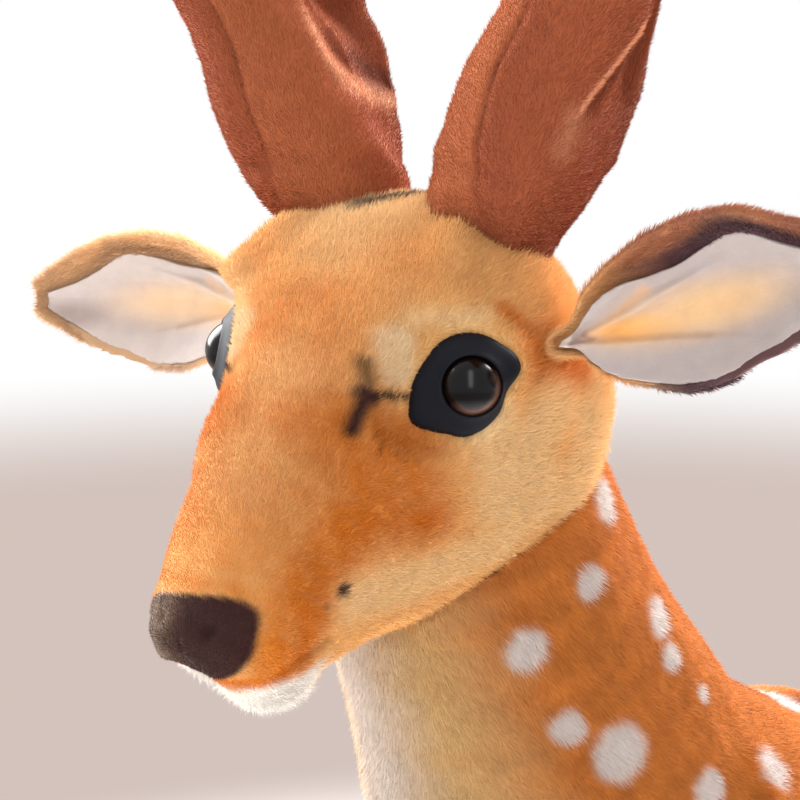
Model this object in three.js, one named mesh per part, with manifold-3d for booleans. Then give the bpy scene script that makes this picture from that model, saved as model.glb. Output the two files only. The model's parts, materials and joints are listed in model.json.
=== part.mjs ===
// A plush spotted deer that stands on four legs: pile fabric sewn over stuffing, on a wire frame.
// Millimetres, +Z up. The deer looks along -Y and its own left is +X.

import * as THREE from 'three';
import { mergeVertices } from 'three/addons/utils/BufferGeometryUtils.js';
import Module from 'manifold-3d';

// Fits and overruns
const clearance = 0.3;
const seatClearance = 0.4;
const overrun = 2;

// Legs and hooves
const hoofHeight = 30;
const hoofWidth = 38;
const hoofDepth = 46;
const legLength = 216;
const legWidth = 48;
const legDepth = 60;
const thighWidth = 58;
const thighDepth = 92;

// Trunk
const torsoLength = 300;
const torsoWidth = 144;
const torsoDepth = 150;

// Neck
const neckLength = 176;
const neckLean = 23.5;
const neckTopRadius = 50;
const neckBaseWidth = 122;
const neckBaseDepth = 146;

// Head, measured across, down the face and at right angles to it
const headLength = 181;
const headWidth = 112;
const headDepth = 110;
const headPitch = 41;
const headTurn = 20;
const headForward = 11;

// Ears
const earLength = 112;
const earWidth = 54;
const earCup = 15;
const earThickness = 8;
const liningThickness = 2.4;
const earRootRadius = 12;
const leftEarSweep = 6;
const leftEarRise = 19.5;
const rightEarSweep = -10;
const rightEarRise = -2;

// Antlers
const antlerHeight = 168;
const antlerThickness = 43;
const tineThickness = 36;
const antlerSeatRadius = 25;
const antlerSeatDepth = 66;

// Eyes
const lidWidth = 35;
const lidHeight = 32;
const lidThickness = 5;
const eyeballRadius = 10;
const shankRadius = 2;
const shankLength = 15;
const washerRadius = 8;
const washerThickness = 1.6;
const eyeForward = 46;
const eyeRise = 12;

// Tail
const tailLength = 62;
const tailWidth = 30;
const tailRootRadius = 8;
const tailDroop = 62;

// Inner frame
const wireRadius = 2;
const spineRadius = 2.6;
const wireClearance = 0.3;
const wirePocketRadius = 7;

// How square the oval sections are, 2 for round
const roundPower = 2;
const torsoPower = 2.2;
const legPower = 2.1;
const hoofPower = 2.3;

// Smoothness of the soft forms
const torsoSides = 22;
const headSides = 24;
const neckSides = 22;
const legSides = 16;
const antlerSides = 16;
const seatSides = 20;
const eyeSides = 18;
const lidSides = 24;
const shankSides = 8;
const wireSides = 6;
const wireSteps = 20;
const fineSteps = 2;
const plainSteps = 1;

const wasm = await Module();
wasm.setup();

const xAxis = new THREE.Vector3(1, 0, 0);
const yAxis = new THREE.Vector3(0, 1, 0);
const zAxis = new THREE.Vector3(0, 0, 1);
const point = (x, y, z) => new THREE.Vector3(x, y, z);
const radians = THREE.MathUtils.degToRad;

// Catmull-Rom interpolation of rows of numbers, with the given steps between two rows
function interpolateRows(rows, steps) {
  const value = (a, b, c, d, t) => 0.5 * (2 * b + (c - a) * t
    + (2 * a - 5 * b + 4 * c - d) * t * t + (3 * b - a - 3 * c + d) * t * t * t);
  const out = [];
  for (let i = 0; i < rows.length - 1; i += 1) {
    const before = rows[Math.max(i - 1, 0)];
    const after = rows[Math.min(i + 2, rows.length - 1)];
    for (let k = 0; k < steps; k += 1) {
      out.push(rows[i].map((b, c) => value(before[c], b, rows[i + 1][c], after[c], k / steps)));
    }
  }
  out.push(rows[rows.length - 1]);
  return out;
}

// One ring of a soft form: an oval with its own height above and below the middle
function ovalRing(section, sides) {
  const { at, across, up, half, above, below, power } = section;
  const ring = [];
  for (let i = 0; i < sides; i += 1) {
    const angle = (2 * Math.PI * i) / sides;
    const c = Math.cos(angle);
    const s = Math.sin(angle);
    const u = Math.sign(c) * Math.abs(c) ** (2 / power) * half;
    const v = Math.sign(s) * Math.abs(s) ** (2 / power) * (s > 0 ? above : below);
    ring.push(at.clone().addScaledVector(across, u).addScaledVector(up, v));
  }
  return ring;
}

// Volume inside a closed set of triangles, positive when they face out
function signedVolume(positions, index) {
  const corner = (i) => point(positions[3 * i], positions[3 * i + 1], positions[3 * i + 2]);
  let volume = 0;
  for (let i = 0; i < index.length; i += 3) {
    volume += corner(index[i]).dot(corner(index[i + 1]).cross(corner(index[i + 2]))) / 6;
  }
  return volume;
}

function closedGeometry(positions, index) {
  const facing = signedVolume(positions, index) > 0 ? index : index.slice().reverse();
  const geometry = new THREE.BufferGeometry();
  geometry.setAttribute('position', new THREE.BufferAttribute(new Float32Array(positions), 3));
  geometry.setIndex(facing);
  return geometry;
}

// A closed skin through a row of rings, with a point at each end
function loft(rings) {
  const sides = rings[0].length;
  const positions = rings.flat().flatMap((p) => [p.x, p.y, p.z]);
  const index = [];
  for (let r = 0; r < rings.length - 1; r += 1) {
    for (let i = 0; i < sides; i += 1) {
      const a = r * sides + i;
      const b = r * sides + ((i + 1) % sides);
      index.push(a, b, b + sides, a, b + sides, a + sides);
    }
  }
  for (const end of [0, rings.length - 1]) {
    const middle = rings[end].reduce((sum, p) => sum.add(p), point(0, 0, 0)).divideScalar(sides);
    const pole = positions.length / 3;
    positions.push(middle.x, middle.y, middle.z);
    for (let i = 0; i < sides; i += 1) {
      const a = end * sides + i;
      const b = end * sides + ((i + 1) % sides);
      index.push(...(end === 0 ? [pole, b, a] : [pole, a, b]));
    }
  }
  return closedGeometry(positions, index);
}

// A closed solid between two matching grids of points
function slab(front, back) {
  const rows = front.length;
  const columns = front[0].length;
  const positions = [...front.flat(), ...back.flat()].flatMap((p) => [p.x, p.y, p.z]);
  const behind = rows * columns;
  const index = [];
  const quad = (a, b, c, d) => index.push(a, b, c, a, c, d);
  for (let r = 0; r < rows - 1; r += 1) {
    for (let c = 0; c < columns - 1; c += 1) {
      const a = r * columns + c;
      quad(a, a + 1, a + columns + 1, a + columns);
      quad(behind + a, behind + a + columns, behind + a + columns + 1, behind + a + 1);
    }
  }
  for (let c = 0; c < columns - 1; c += 1) {
    const last = (rows - 1) * columns + c;
    quad(c, behind + c, behind + c + 1, c + 1);
    quad(last, last + 1, behind + last + 1, behind + last);
  }
  for (let r = 0; r < rows - 1; r += 1) {
    const left = r * columns;
    const right = left + columns - 1;
    quad(left, left + columns, behind + left + columns, behind + left);
    quad(right, behind + right, behind + right + columns, right + columns);
  }
  return closedGeometry(positions, index);
}

function solidOf(geometry) {
  const bare = geometry.clone();
  bare.deleteAttribute('normal');
  bare.deleteAttribute('uv');
  const merged = mergeVertices(bare);
  return new wasm.Manifold(new wasm.Mesh({
    numProp: 3,
    vertProperties: new Float32Array(merged.attributes.position.array),
    triVerts: new Uint32Array(merged.index.array),
  }));
}

function geometryOf(solid) {
  const mesh = solid.getMesh();
  const geometry = new THREE.BufferGeometry();
  geometry.setAttribute('position', new THREE.BufferAttribute(new Float32Array(mesh.vertProperties), 3));
  geometry.setIndex(new THREE.BufferAttribute(new Uint32Array(mesh.triVerts), 1));
  return geometry;
}

const moved = (geometry, matrix) => geometry.clone().applyMatrix4(matrix);

// The same shape on the other side, with its faces still pointing out
function mirrored(geometry, side) {
  if (side > 0) return geometry;
  const copy = geometry.clone();
  copy.applyMatrix4(new THREE.Matrix4().makeScale(-1, 1, 1));
  const index = copy.index.array;
  for (let i = 0; i < index.length; i += 3) [index[i + 1], index[i + 2]] = [index[i + 2], index[i + 1]];
  return copy;
}

// Stands an object at a place with its own z and y along the given directions, on either side
function stand(object, side, place, zDirection, yDirection) {
  const flip = (v) => point(side * v.x, v.y, v.z);
  const z = flip(zDirection).normalize();
  const x = flip(yDirection).cross(z).normalize();
  const y = z.clone().cross(x);
  object.matrix.makeBasis(x, y, z).setPosition(flip(place));
  object.matrix.decompose(object.position, object.quaternion, object.scale);
  object.updateMatrix();
  return object;
}

const ball = (radius, round = seatSides) => new THREE.SphereGeometry(radius, round, round / 2);

function rod(radius, from, to, sides) {
  const along = to.clone().sub(from);
  const geometry = new THREE.CylinderGeometry(radius, radius, along.length(), sides);
  const turn = new THREE.Quaternion().setFromUnitVectors(yAxis, along.clone().normalize());
  const middle = from.clone().add(to).multiplyScalar(0.5);
  return moved(geometry, new THREE.Matrix4().compose(middle, turn, point(1, 1, 1)));
}

function wireAlong(points, radius) {
  const circle = new THREE.Shape();
  for (let i = 0; i < wireSides; i += 1) {
    const angle = (2 * Math.PI * i) / wireSides;
    const place = [radius * Math.cos(angle), radius * Math.sin(angle)];
    if (i === 0) circle.moveTo(...place);
    else circle.lineTo(...place);
  }
  const path = new THREE.CatmullRomCurve3(points, false, 'centripetal');
  return new THREE.ExtrudeGeometry(circle, { steps: wireSteps, extrudePath: path });
}

const finish = (color, roughness, metalness = 0) => new THREE.MeshStandardMaterial({
  color, roughness, metalness,
});

function part(name, geometry, material) {
  const mesh = new THREE.Mesh(geometry, material);
  mesh.name = name;
  return mesh;
}

// Trunk: a row of ovals from the chest to the rump.
// Shares of the length, the half width, and the depth at the belly and at the back.
const bellyHeight = hoofHeight + legLength;
const torsoShares = [
  [0.000, 0.14, 0.40, 0.55],
  [0.018, 0.40, 0.28, 0.65],
  [0.065, 0.66, 0.15, 0.72],
  [0.165, 0.87, 0.04, 0.77],
  [0.300, 0.97, 0.00, 0.84],
  [0.440, 1.00, 0.01, 0.89],
  [0.570, 1.00, 0.05, 0.91],
  [0.700, 0.98, 0.10, 0.92],
  [0.840, 0.92, 0.13, 0.92],
  [0.930, 0.72, 0.22, 0.85],
  [0.982, 0.42, 0.36, 0.74],
  [1.000, 0.14, 0.50, 0.60],
];
const torsoPlace = (alongShare, heightShare) => point(
  0,
  (alongShare - 0.5) * torsoLength,
  bellyHeight + heightShare * torsoDepth,
);

function torsoForm(grow) {
  const rows = interpolateRows(torsoShares, fineSteps);
  const rings = rows.map(([along, width, low, high], i) => {
    const outward = i === 0 ? -grow : (i === rows.length - 1 ? grow : 0);
    const half = ((high - low) / 2) * torsoDepth + grow;
    return ovalRing({
      at: torsoPlace(along, (low + high) / 2).add(point(0, outward, 0)),
      across: xAxis,
      up: zAxis,
      half: (width * torsoWidth) / 2 + grow,
      above: half,
      below: half,
      power: torsoPower,
    }, torsoSides);
  });
  return loft(rings);
}

// Legs: rows of height over the leg's length, then sideways over the torso's width, back over the
// leg's length, and width and depth over the widest of this leg.
const forelegShares = [
  [0.00, 0.28, 0.000, 0.66, 0.60],
  [0.08, 0.28, 0.000, 0.65, 0.57],
  [0.20, 0.28, 0.004, 0.60, 0.50],
  [0.40, 0.28, 0.000, 0.60, 0.50],
  [0.53, 0.28, -0.008, 0.69, 0.60],
  [0.64, 0.28, 0.000, 0.68, 0.60],
  [0.78, 0.28, 0.010, 0.76, 0.70],
  [0.92, 0.275, 0.014, 0.90, 0.88],
  [1.06, 0.26, 0.014, 1.00, 1.00],
  [1.20, 0.23, 0.014, 0.98, 1.00],
  [1.32, 0.19, 0.014, 0.76, 0.80],
  [1.38, 0.18, 0.014, 0.34, 0.40],
];
const hindlegShares = [
  [0.00, 0.29, 0.010, 0.545, 0.39],
  [0.08, 0.29, 0.014, 0.535, 0.37],
  [0.20, 0.29, 0.026, 0.50, 0.33],
  [0.40, 0.29, 0.050, 0.50, 0.34],
  [0.56, 0.29, 0.074, 0.56, 0.42],
  [0.66, 0.29, 0.068, 0.60, 0.48],
  [0.78, 0.29, 0.040, 0.72, 0.64],
  [0.94, 0.295, 0.010, 0.90, 0.88],
  [1.12, 0.29, -0.005, 1.00, 1.00],
  [1.28, 0.26, -0.005, 0.98, 0.96],
  [1.42, 0.21, -0.005, 0.78, 0.74],
  [1.50, 0.18, -0.005, 0.36, 0.36],
];
const forelegAlongShare = 0.215;
const hindlegAlongShare = 0.84;
const archShare = 0.58;

const legRowPlace = (alongShare, [height, sideways, back]) => point(
  sideways * torsoWidth,
  (alongShare - 0.5) * torsoLength + back * legLength,
  hoofHeight + height * legLength,
);

function legForm(shares, alongShare, width, depth) {
  const rings = interpolateRows(shares, plainSteps).map((row) => {
    const at = legRowPlace(alongShare, row);
    const halfDepth = (row[4] * depth) / 2;
    return ovalRing({
      at,
      across: xAxis,
      up: yAxis,
      half: (row[3] * width) / 2,
      above: halfDepth,
      below: halfDepth,
      power: legPower,
    }, legSides);
  });
  return loft(rings);
}

// The wire in a pair of legs: up one leg, over inside the trunk and down the other
function legWirePath(shares, alongShare, footHeight) {
  const up = shares.filter((row) => row[0] < 1).map((row) => legRowPlace(alongShare, row));
  up[0].z = footHeight;
  const arch = torsoPlace(alongShare, archShare);
  const down = up.map((p) => point(-p.x, p.y, p.z)).reverse();
  return [...up, arch, ...down];
}

// Hoof: a flat sole, a swelling wall and a flat top under the leg.
// Shares of the height, and of the width and depth.
const hoofShares = [
  [0.00, 0.92, 0.93, 0.00],
  [0.10, 1.00, 1.00, 0.00],
  [0.45, 0.98, 0.97, 0.01],
  [0.80, 0.90, 0.86, 0.03],
  [1.00, 0.86, 0.80, 0.04],
];
const wireFootShare = 0.45;

function hoofForm(place) {
  const top = hoofHeight - clearance;
  const rings = interpolateRows(hoofShares, plainSteps).map(([height, width, depth, back]) => {
    const halfDepth = (depth * hoofDepth) / 2;
    return ovalRing({
      at: point(place.x, place.y + back * hoofDepth, height * top),
      across: xAxis,
      up: yAxis,
      half: (width * hoofWidth) / 2,
      above: halfDepth,
      below: halfDepth,
      power: hoofPower,
    }, legSides);
  });
  return loft(rings);
}

// Head, in its own frame: the long axis runs down the face, at headPitch below level.
// Shares of the length along the axis, then half width, height to the face side and to the jaw side,
// and how square the section is.
const headShares = [
  [0.000, 0.24, 0.30, 0.10, 2.2],
  [0.025, 0.54, 0.62, 0.38, 2.4],
  [0.070, 0.80, 0.84, 0.66, 2.7],
  [0.130, 0.97, 0.98, 0.90, 3.0],
  [0.230, 1.06, 1.03, 1.07, 3.1],
  [0.340, 1.07, 1.02, 1.12, 3.0],
  [0.450, 1.01, 0.98, 1.05, 2.8],
  [0.560, 0.87, 0.91, 0.90, 2.6],
  [0.670, 0.72, 0.80, 0.74, 2.4],
  [0.780, 0.59, 0.69, 0.57, 2.35],
  [0.870, 0.51, 0.60, 0.44, 2.35],
  [0.940, 0.43, 0.515, 0.31, 2.35],
  [0.980, 0.32, 0.42, 0.15, 2.3],
  [1.000, 0.13, 0.27, -0.02, 2.2],
];
const headBehindShare = 0.343;
const faceDirection = point(0, -Math.cos(radians(headPitch)), -Math.sin(radians(headPitch)));
const browDirection = point(0, -Math.sin(radians(headPitch)), Math.cos(radians(headPitch)));
const headMiddle = point(0, -headForward, 0);
const headPlace = (along, out, side = 0) => headMiddle.clone()
  .addScaledVector(faceDirection, along)
  .addScaledVector(browDirection, out)
  .add(point(side, 0, 0));

// Where the antlers, ears and eyes stand: shares of the head's length, depth and width
const antlerSpotShares = [-0.255, 0.378, 0.31];
const earSpotShares = [-0.088, 0.17, 0.54];
const eyeSpotShares = [0.058, 0.263, 0.45];

function headForm(grow) {
  const rows = interpolateRows(headShares, fineSteps);
  const rings = rows.map(([along, width, top, bottom, power], i) => {
    const outward = i === 0 ? -grow : (i === rows.length - 1 ? grow : 0);
    const reach = headDepth / 2;
    const middle = ((top - bottom) / 2) * reach;
    const half = ((top + bottom) / 2) * reach + grow;
    return ovalRing({
      at: headPlace((along - headBehindShare) * headLength + outward, middle),
      across: xAxis,
      up: browDirection,
      half: (width * headWidth) / 2 + grow,
      above: half,
      below: half,
      power,
    }, headSides);
  });
  return loft(rings);
}

// Neck: ovals along its own axis, from inside the trunk to inside the head.
// Shares of the length, then how far from the base size to the round top.
const neckWireShare = 0.125;
const throatShare = 1.18;
const neckShares = [
  [-0.34, 0.00, 0.55],
  [-0.24, 0.00, 0.90],
  [-0.06, 0.00, 1.00],
  [0.15, 0.30, 1.00],
  [0.35, 0.66, 1.00],
  [0.55, 0.88, 1.00],
  [0.75, 1.00, 1.00],
  [0.92, 1.00, 0.98],
  [1.02, 1.00, 0.80],
  [1.08, 1.00, 0.45],
];

function neckForm() {
  const rings = interpolateRows(neckShares, fineSteps).map(([along, round, size]) => {
    const half = size * THREE.MathUtils.lerp(neckBaseWidth / 2, neckTopRadius, round);
    const deep = size * THREE.MathUtils.lerp(neckBaseDepth / 2, neckTopRadius, round);
    return ovalRing({
      at: point(0, 0, along * neckLength),
      across: xAxis,
      up: yAxis,
      half,
      above: deep,
      below: deep * throatShare,
      power: roundPower,
    }, neckSides);
  });
  return loft(rings);
}

// Ear: a leaf, cupped towards the front. Its own x runs out to the tip, z across, y to the back.
// Shares of the length, the half width, the cup and the thickness.
const earShares = [
  [0.05, 0.28, 0.06, 0.45],
  [0.12, 0.46, 0.24, 0.60],
  [0.22, 0.70, 0.58, 0.85],
  [0.36, 0.94, 0.92, 1.00],
  [0.50, 1.00, 0.96, 1.00],
  [0.64, 0.92, 0.78, 1.00],
  [0.78, 0.70, 0.50, 0.95],
  [0.90, 0.42, 0.26, 0.80],
  [0.97, 0.22, 0.12, 0.60],
];
const earColumns = 8;
const earRimShare = 0.86;
const earLipShare = 0.45;
const earLiningEndShare = 0.95;

// A grid over the ear's leaf: a given share of its width and length, at a depth behind its hollow
function earGrid(widthShare, endShare, behind, rootGrow = 0) {
  return interpolateRows(earShares, plainSteps).map(([along, width, cup, thick], row) => {
    const out = along * endShare * earLength - (row === 0 ? rootGrow : 0);
    const line = [];
    for (let c = 0; c <= earColumns; c += 1) {
      const across = Math.sin(((c / earColumns) * 2 - 1) * (Math.PI / 2));
      const half = (width * widthShare * earWidth) / 2;
      const hollow = earCup * cup * (1 - (across * widthShare) ** 2);
      line.push(point(out, hollow + behind(across, thick), across * half));
    }
    return line;
  });
}

// Antler: a stem, a thick beam that leans out and a tine behind it. Shares of the height: out, back,
// up, then of the thickness across and how much deeper than that from front to back.
const stemShares = [
  [0.000, 0.020, -0.060, 0.70, 1.20],
  [0.004, 0.026, 0.020, 0.96, 1.30],
  [0.040, 0.046, 0.140, 0.98, 1.40],
  [0.095, 0.046, 0.230, 0.90, 1.34],
  [0.132, 0.042, 0.290, 0.74, 1.20],
  [0.150, 0.040, 0.320, 0.40, 1.00],
];
const beamShares = [
  [0.000, 0.000, -0.060, 0.70, 1.00],
  [0.000, 0.000, 0.020, 0.98, 1.00],
  [0.034, -0.010, 0.130, 1.06, 1.00],
  [0.112, -0.030, 0.280, 1.06, 1.00],
  [0.225, -0.048, 0.440, 1.04, 1.00],
  [0.330, -0.050, 0.640, 0.98, 1.00],
  [0.400, -0.040, 0.820, 0.88, 1.00],
  [0.430, -0.030, 0.935, 0.66, 1.00],
  [0.438, -0.026, 0.985, 0.34, 1.00],
];
const tineShares = [
  [0.004, 0.046, -0.020, 0.62, 1.00],
  [0.022, 0.076, 0.080, 0.84, 1.00],
  [0.082, 0.128, 0.220, 1.00, 1.00],
  [0.140, 0.150, 0.380, 0.92, 1.00],
  [0.186, 0.180, 0.530, 0.86, 1.00],
  [0.212, 0.200, 0.640, 0.76, 1.00],
  [0.224, 0.208, 0.705, 0.56, 1.00],
  [0.228, 0.210, 0.735, 0.28, 1.00],
];

function hornForm(shares, thickness) {
  const rings = interpolateRows(shares, plainSteps);
  const place = ([out, back, up]) => point(out, back, up).multiplyScalar(antlerHeight);
  return loft(rings.map((row, i) => {
    const ahead = place(rings[Math.min(i + 1, rings.length - 1)]);
    const along = ahead.sub(place(rings[Math.max(i - 1, 0)])).normalize();
    const across = yAxis.clone().cross(along).normalize();
    const radius = (row[3] * thickness) / 2;
    return ovalRing({
      at: place(row),
      across,
      up: along.clone().cross(across),
      half: radius,
      above: radius * row[4],
      below: radius * row[4],
      power: roundPower,
    }, antlerSides);
  }));
}

// A round seat with its own depth from front to back
function antlerSeat(grow) {
  const seat = ball(antlerSeatRadius + grow);
  const deeper = (antlerSeatDepth / 2 + grow) / (antlerSeatRadius + grow);
  return moved(seat, new THREE.Matrix4().makeScale(1, deeper, 1));
}

// Lid: an almond plate with a pointed outer corner. Its own z points out of the head.
const lidShares = [
  [-0.535, -0.120],
  [-0.494, 0.070],
  [-0.400, 0.245],
  [-0.275, 0.410],
  [-0.110, 0.500],
  [0.083, 0.500],
  [0.263, 0.406],
  [0.425, 0.245],
  [0.440, 0.185],
  [0.345, 0.000],
  [0.230, -0.280],
  [0.070, -0.430],
  [-0.070, -0.480],
  [-0.226, -0.445],
  [-0.380, -0.410],
  [-0.517, -0.340],
];
const lidCrownShare = 0.55;
const eyeSeatShare = 0.3;
const lidBulgeShares = [0, 0.35, 0.68, 0.9, 1];
const lidInsetShares = [1, 0.965, 0.86, 0.68, 0.42];

function lidOutline(grow) {
  const corners = lidShares.map(([u, v]) => point(u * lidWidth, v * lidHeight, 0));
  const curve = new THREE.CatmullRomCurve3(corners, true, 'centripetal');
  return curve.getSpacedPoints(lidSides).slice(0, lidSides).map((p) => p.multiplyScalar(1 + grow / p.length()));
}

// The lid's dome, from its flat back outwards
function lidForm() {
  const outline = lidOutline(0);
  const flat = outline.map((p) => p.clone());
  const rings = lidInsetShares.map((inset, i) => outline.map((p) => point(
    p.x * inset,
    p.y * inset,
    lidThickness * (1 - lidCrownShare + lidCrownShare * lidBulgeShares[i]),
  )));
  return loft([flat, ...rings]);
}

function lidPocket() {
  const outline = lidOutline(clearance);
  const level = (z) => outline.map((p) => point(p.x, p.y, z));
  return loft([level(-clearance), level(lidThickness * 2 + overrun)]);
}

// Tail: a flat teardrop that hangs from a round root. Its own -z runs down to the tip.
const tailShares = [
  [0.02, 0.46, 0.34],
  [0.15, 0.62, 0.46],
  [0.35, 0.88, 0.60],
  [0.58, 1.00, 0.62],
  [0.78, 0.84, 0.50],
  [0.92, 0.50, 0.32],
  [0.99, 0.18, 0.14],
];
const tailAlongShare = 0.99;
const tailHeightShare = 0.71;

// Finishes
const tanPlush = () => finish('#c9783a', 0.95);
const paleVelour = () => finish('#d8cdc6', 0.95);
const antlerPlush = () => finish('#a85a32', 0.95);
const hoofPlush = () => finish('#3b2a22', 0.95);
const lidPlastic = () => finish('#22252d', 0.5);
const eyePlastic = () => finish('#3a2217', 0.08);
const clearNylon = () => finish('#d9d9d2', 0.4);
const steelWire = () => finish('#8c8f93', 0.35, 1);

const deer = new THREE.Group();
deer.name = 'plush_deer';

// Legs, hooves and the frame of wire that stands in them
const torsoCutter = solidOf(torsoForm(clearance));
const footHeight = wireFootShare * hoofHeight;
const legKinds = [
  ['foreleg', forelegShares, forelegAlongShare, legWidth, legDepth],
  ['hindleg', hindlegShares, hindlegAlongShare, thighWidth, thighDepth],
];
const bores = legKinds.map(([, shares, alongShare]) => solidOf(wireAlong(
  legWirePath(shares, alongShare, footHeight - wireClearance),
  wireRadius + wireClearance,
)));
const arches = legKinds.map(([, shares, alongShare]) => solidOf(wireAlong(
  legWirePath(shares, alongShare, footHeight),
  wireRadius,
)));

legKinds.forEach(([name, shares, alongShare, width, depth], kind) => {
  const leg = solidOf(legForm(shares, alongShare, width, depth)).subtract(torsoCutter).subtract(bores[kind]);
  const hoof = solidOf(hoofForm(legRowPlace(alongShare, shares[0]))).subtract(bores[kind]);
  for (const [label, side] of [['left', 1], ['right', -1]]) {
    deer.add(part(`${name}_${label}`, mirrored(geometryOf(leg), side), tanPlush()));
    deer.add(part(`${name}_${label}_hoof`, mirrored(geometryOf(hoof), side), hoofPlush()));
  }
});

// The neck stands on a pivot at the top of the chest
const neckAlongShare = 0.25;
const neckHeightShare = 0.795;
const neckPivot = torsoPlace(neckAlongShare, neckHeightShare);
const neckDirection = point(0, -Math.sin(radians(neckLean)), Math.cos(radians(neckLean)));
const neck = stand(new THREE.Group(), 1, neckPivot, neckDirection, yAxis);
neck.name = 'neck_bend';
deer.add(neck);

const headPivot = neckPivot.clone().addScaledVector(neckDirection, neckLength);
const head = new THREE.Group();
head.name = 'head_turn';
head.position.copy(headPivot);
head.rotation.z = radians(headTurn);
head.updateMatrix();
deer.add(head);

// Spine of the frame: from the neck's pivot down to the front arch and back to the rear one
const archTops = legKinds.map(([, , alongShare]) => torsoPlace(alongShare, archShare));
const spineDirection = neckPivot.clone().sub(archTops[0]).normalize();
const spineTop = (reach) => neckPivot.clone()
  .addScaledVector(spineDirection, reach - wireRadius - wireClearance);
const spinePieces = (radius, reach) => [
  solidOf(rod(radius, archTops[0], spineTop(reach), wireSides)),
  solidOf(rod(radius, archTops[0], archTops[1], wireSides)),
];
const wireFrame = [...arches, ...spinePieces(spineRadius, 0)].reduce((sum, piece) => sum.add(piece));
deer.add(part('wire_frame', geometryOf(wireFrame), steelWire()));

// Tail
const tailPivot = torsoPlace(tailAlongShare, tailHeightShare);
const tailDirection = point(0, -Math.cos(radians(tailDroop)), Math.sin(radians(tailDroop)));
const tail = stand(new THREE.Group(), 1, tailPivot, tailDirection, yAxis);
tail.name = 'tail_lift';
deer.add(tail);

const tailRings = interpolateRows(tailShares, plainSteps).map(([along, width, thick]) => {
  const half = (thick * tailWidth) / 2;
  return ovalRing({
    at: point(0, 0, -along * tailLength),
    across: xAxis,
    up: yAxis,
    half: (width * tailWidth) / 2,
    above: half,
    below: half,
    power: roundPower,
  }, legSides);
});
const tailRoot = solidOf(ball(tailRootRadius));
const torsoInTail = solidOf(moved(torsoForm(clearance), tail.matrix.clone().invert()));
const tailSolid = solidOf(loft(tailRings)).subtract(torsoInTail).add(tailRoot);
tail.add(part('tail', geometryOf(tailSolid), tanPlush()));

// Torso: one stuffed trunk with the bores of the frame and the seat of the tail
const tailSeat = solidOf(moved(ball(tailRootRadius + seatClearance), tail.matrix));
const spineBore = spinePieces(spineRadius + wireClearance, overrun + wireRadius);
const wirePocket = solidOf(ball(wirePocketRadius).translate(neckPivot.x, neckPivot.y, neckPivot.z));
const torso = [...bores, ...spineBore, wirePocket, tailSeat].reduce(
  (body, cut) => body.subtract(cut),
  solidOf(torsoForm(0)),
);
deer.add(part('torso', geometryOf(torso), tanPlush()));

// Neck: stuffed between the trunk and the head, with the wire that holds the head up
const neckWireTop = neckLength + neckWireShare * headDepth;
const neckWireForm = (radius, top) => solidOf(rod(radius, point(0, 0, 0), point(0, 0, top), wireSides))
  .add(solidOf(ball(radius, wireSides)));
const neckBore = neckWireForm(wireRadius + wireClearance, neckWireTop + wireClearance);
const toNeck = neck.matrix.clone().invert();
const torsoInNeck = solidOf(moved(torsoForm(clearance), toNeck));
const headInNeck = solidOf(moved(headForm(clearance), toNeck.clone().multiply(head.matrix)));
const neckSolid = solidOf(neckForm()).subtract(torsoInNeck).subtract(headInNeck).subtract(neckBore);
neck.add(part('neck', geometryOf(neckSolid), tanPlush()));
neck.add(part('neck_wire', geometryOf(neckWireForm(wireRadius, neckWireTop)), steelWire()));

// What is seated in the head on both sides: antlers, ears and eyes
const headCuts = [
  solidOf(moved(geometryOf(neckBore), head.matrix.clone().invert().multiply(neck.matrix))),
];
const headSpot = ([along, out, side]) => headPlace(along * headLength, out * headDepth, side * headWidth);
const antlerPlace = headSpot(antlerSpotShares);
const earPlace = headSpot(earSpotShares);
const eyePlace = headSpot(eyeSpotShares);

const beam = solidOf(hornForm(beamShares, antlerThickness));
const tine = solidOf(hornForm(tineShares, tineThickness));
const stem = solidOf(hornForm(stemShares, antlerThickness));
const antlerSolid = geometryOf(beam.add(tine).add(stem).add(solidOf(antlerSeat(0))));

const earPose = (sweep, rise) => {
  const out = point(
    Math.cos(radians(sweep)) * Math.cos(radians(rise)),
    Math.sin(radians(sweep)) * Math.cos(radians(rise)),
    Math.sin(radians(rise)),
  );
  const hinge = zAxis.clone().addScaledVector(out, -out.z).normalize();
  return { hinge, back: hinge.clone().cross(out) };
};
const earPoses = [earPose(leftEarSweep, leftEarRise), earPose(rightEarSweep, rightEarRise)];
const liningGrid = (depth, grow) => earGrid(
  earRimShare + (2 * grow) / earWidth,
  earLiningEndShare + grow / earLength,
  () => depth,
  grow,
);
const furBack = (across, thick) => liningThickness
  + thick * earThickness * (1 - (1 - earLipShare) * across * across);
const earLiningSolid = solidOf(slab(liningGrid(0, 0), liningGrid(liningThickness, 0)));
const liningRoom = slab(
  liningGrid(-2 * earRootRadius, clearance),
  liningGrid(liningThickness + clearance, clearance),
);
const earFurSolid = solidOf(slab(earGrid(1, 1, () => 0), earGrid(1, 1, furBack)))
  .add(solidOf(ball(earRootRadius)))
  .subtract(solidOf(liningRoom));

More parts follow.
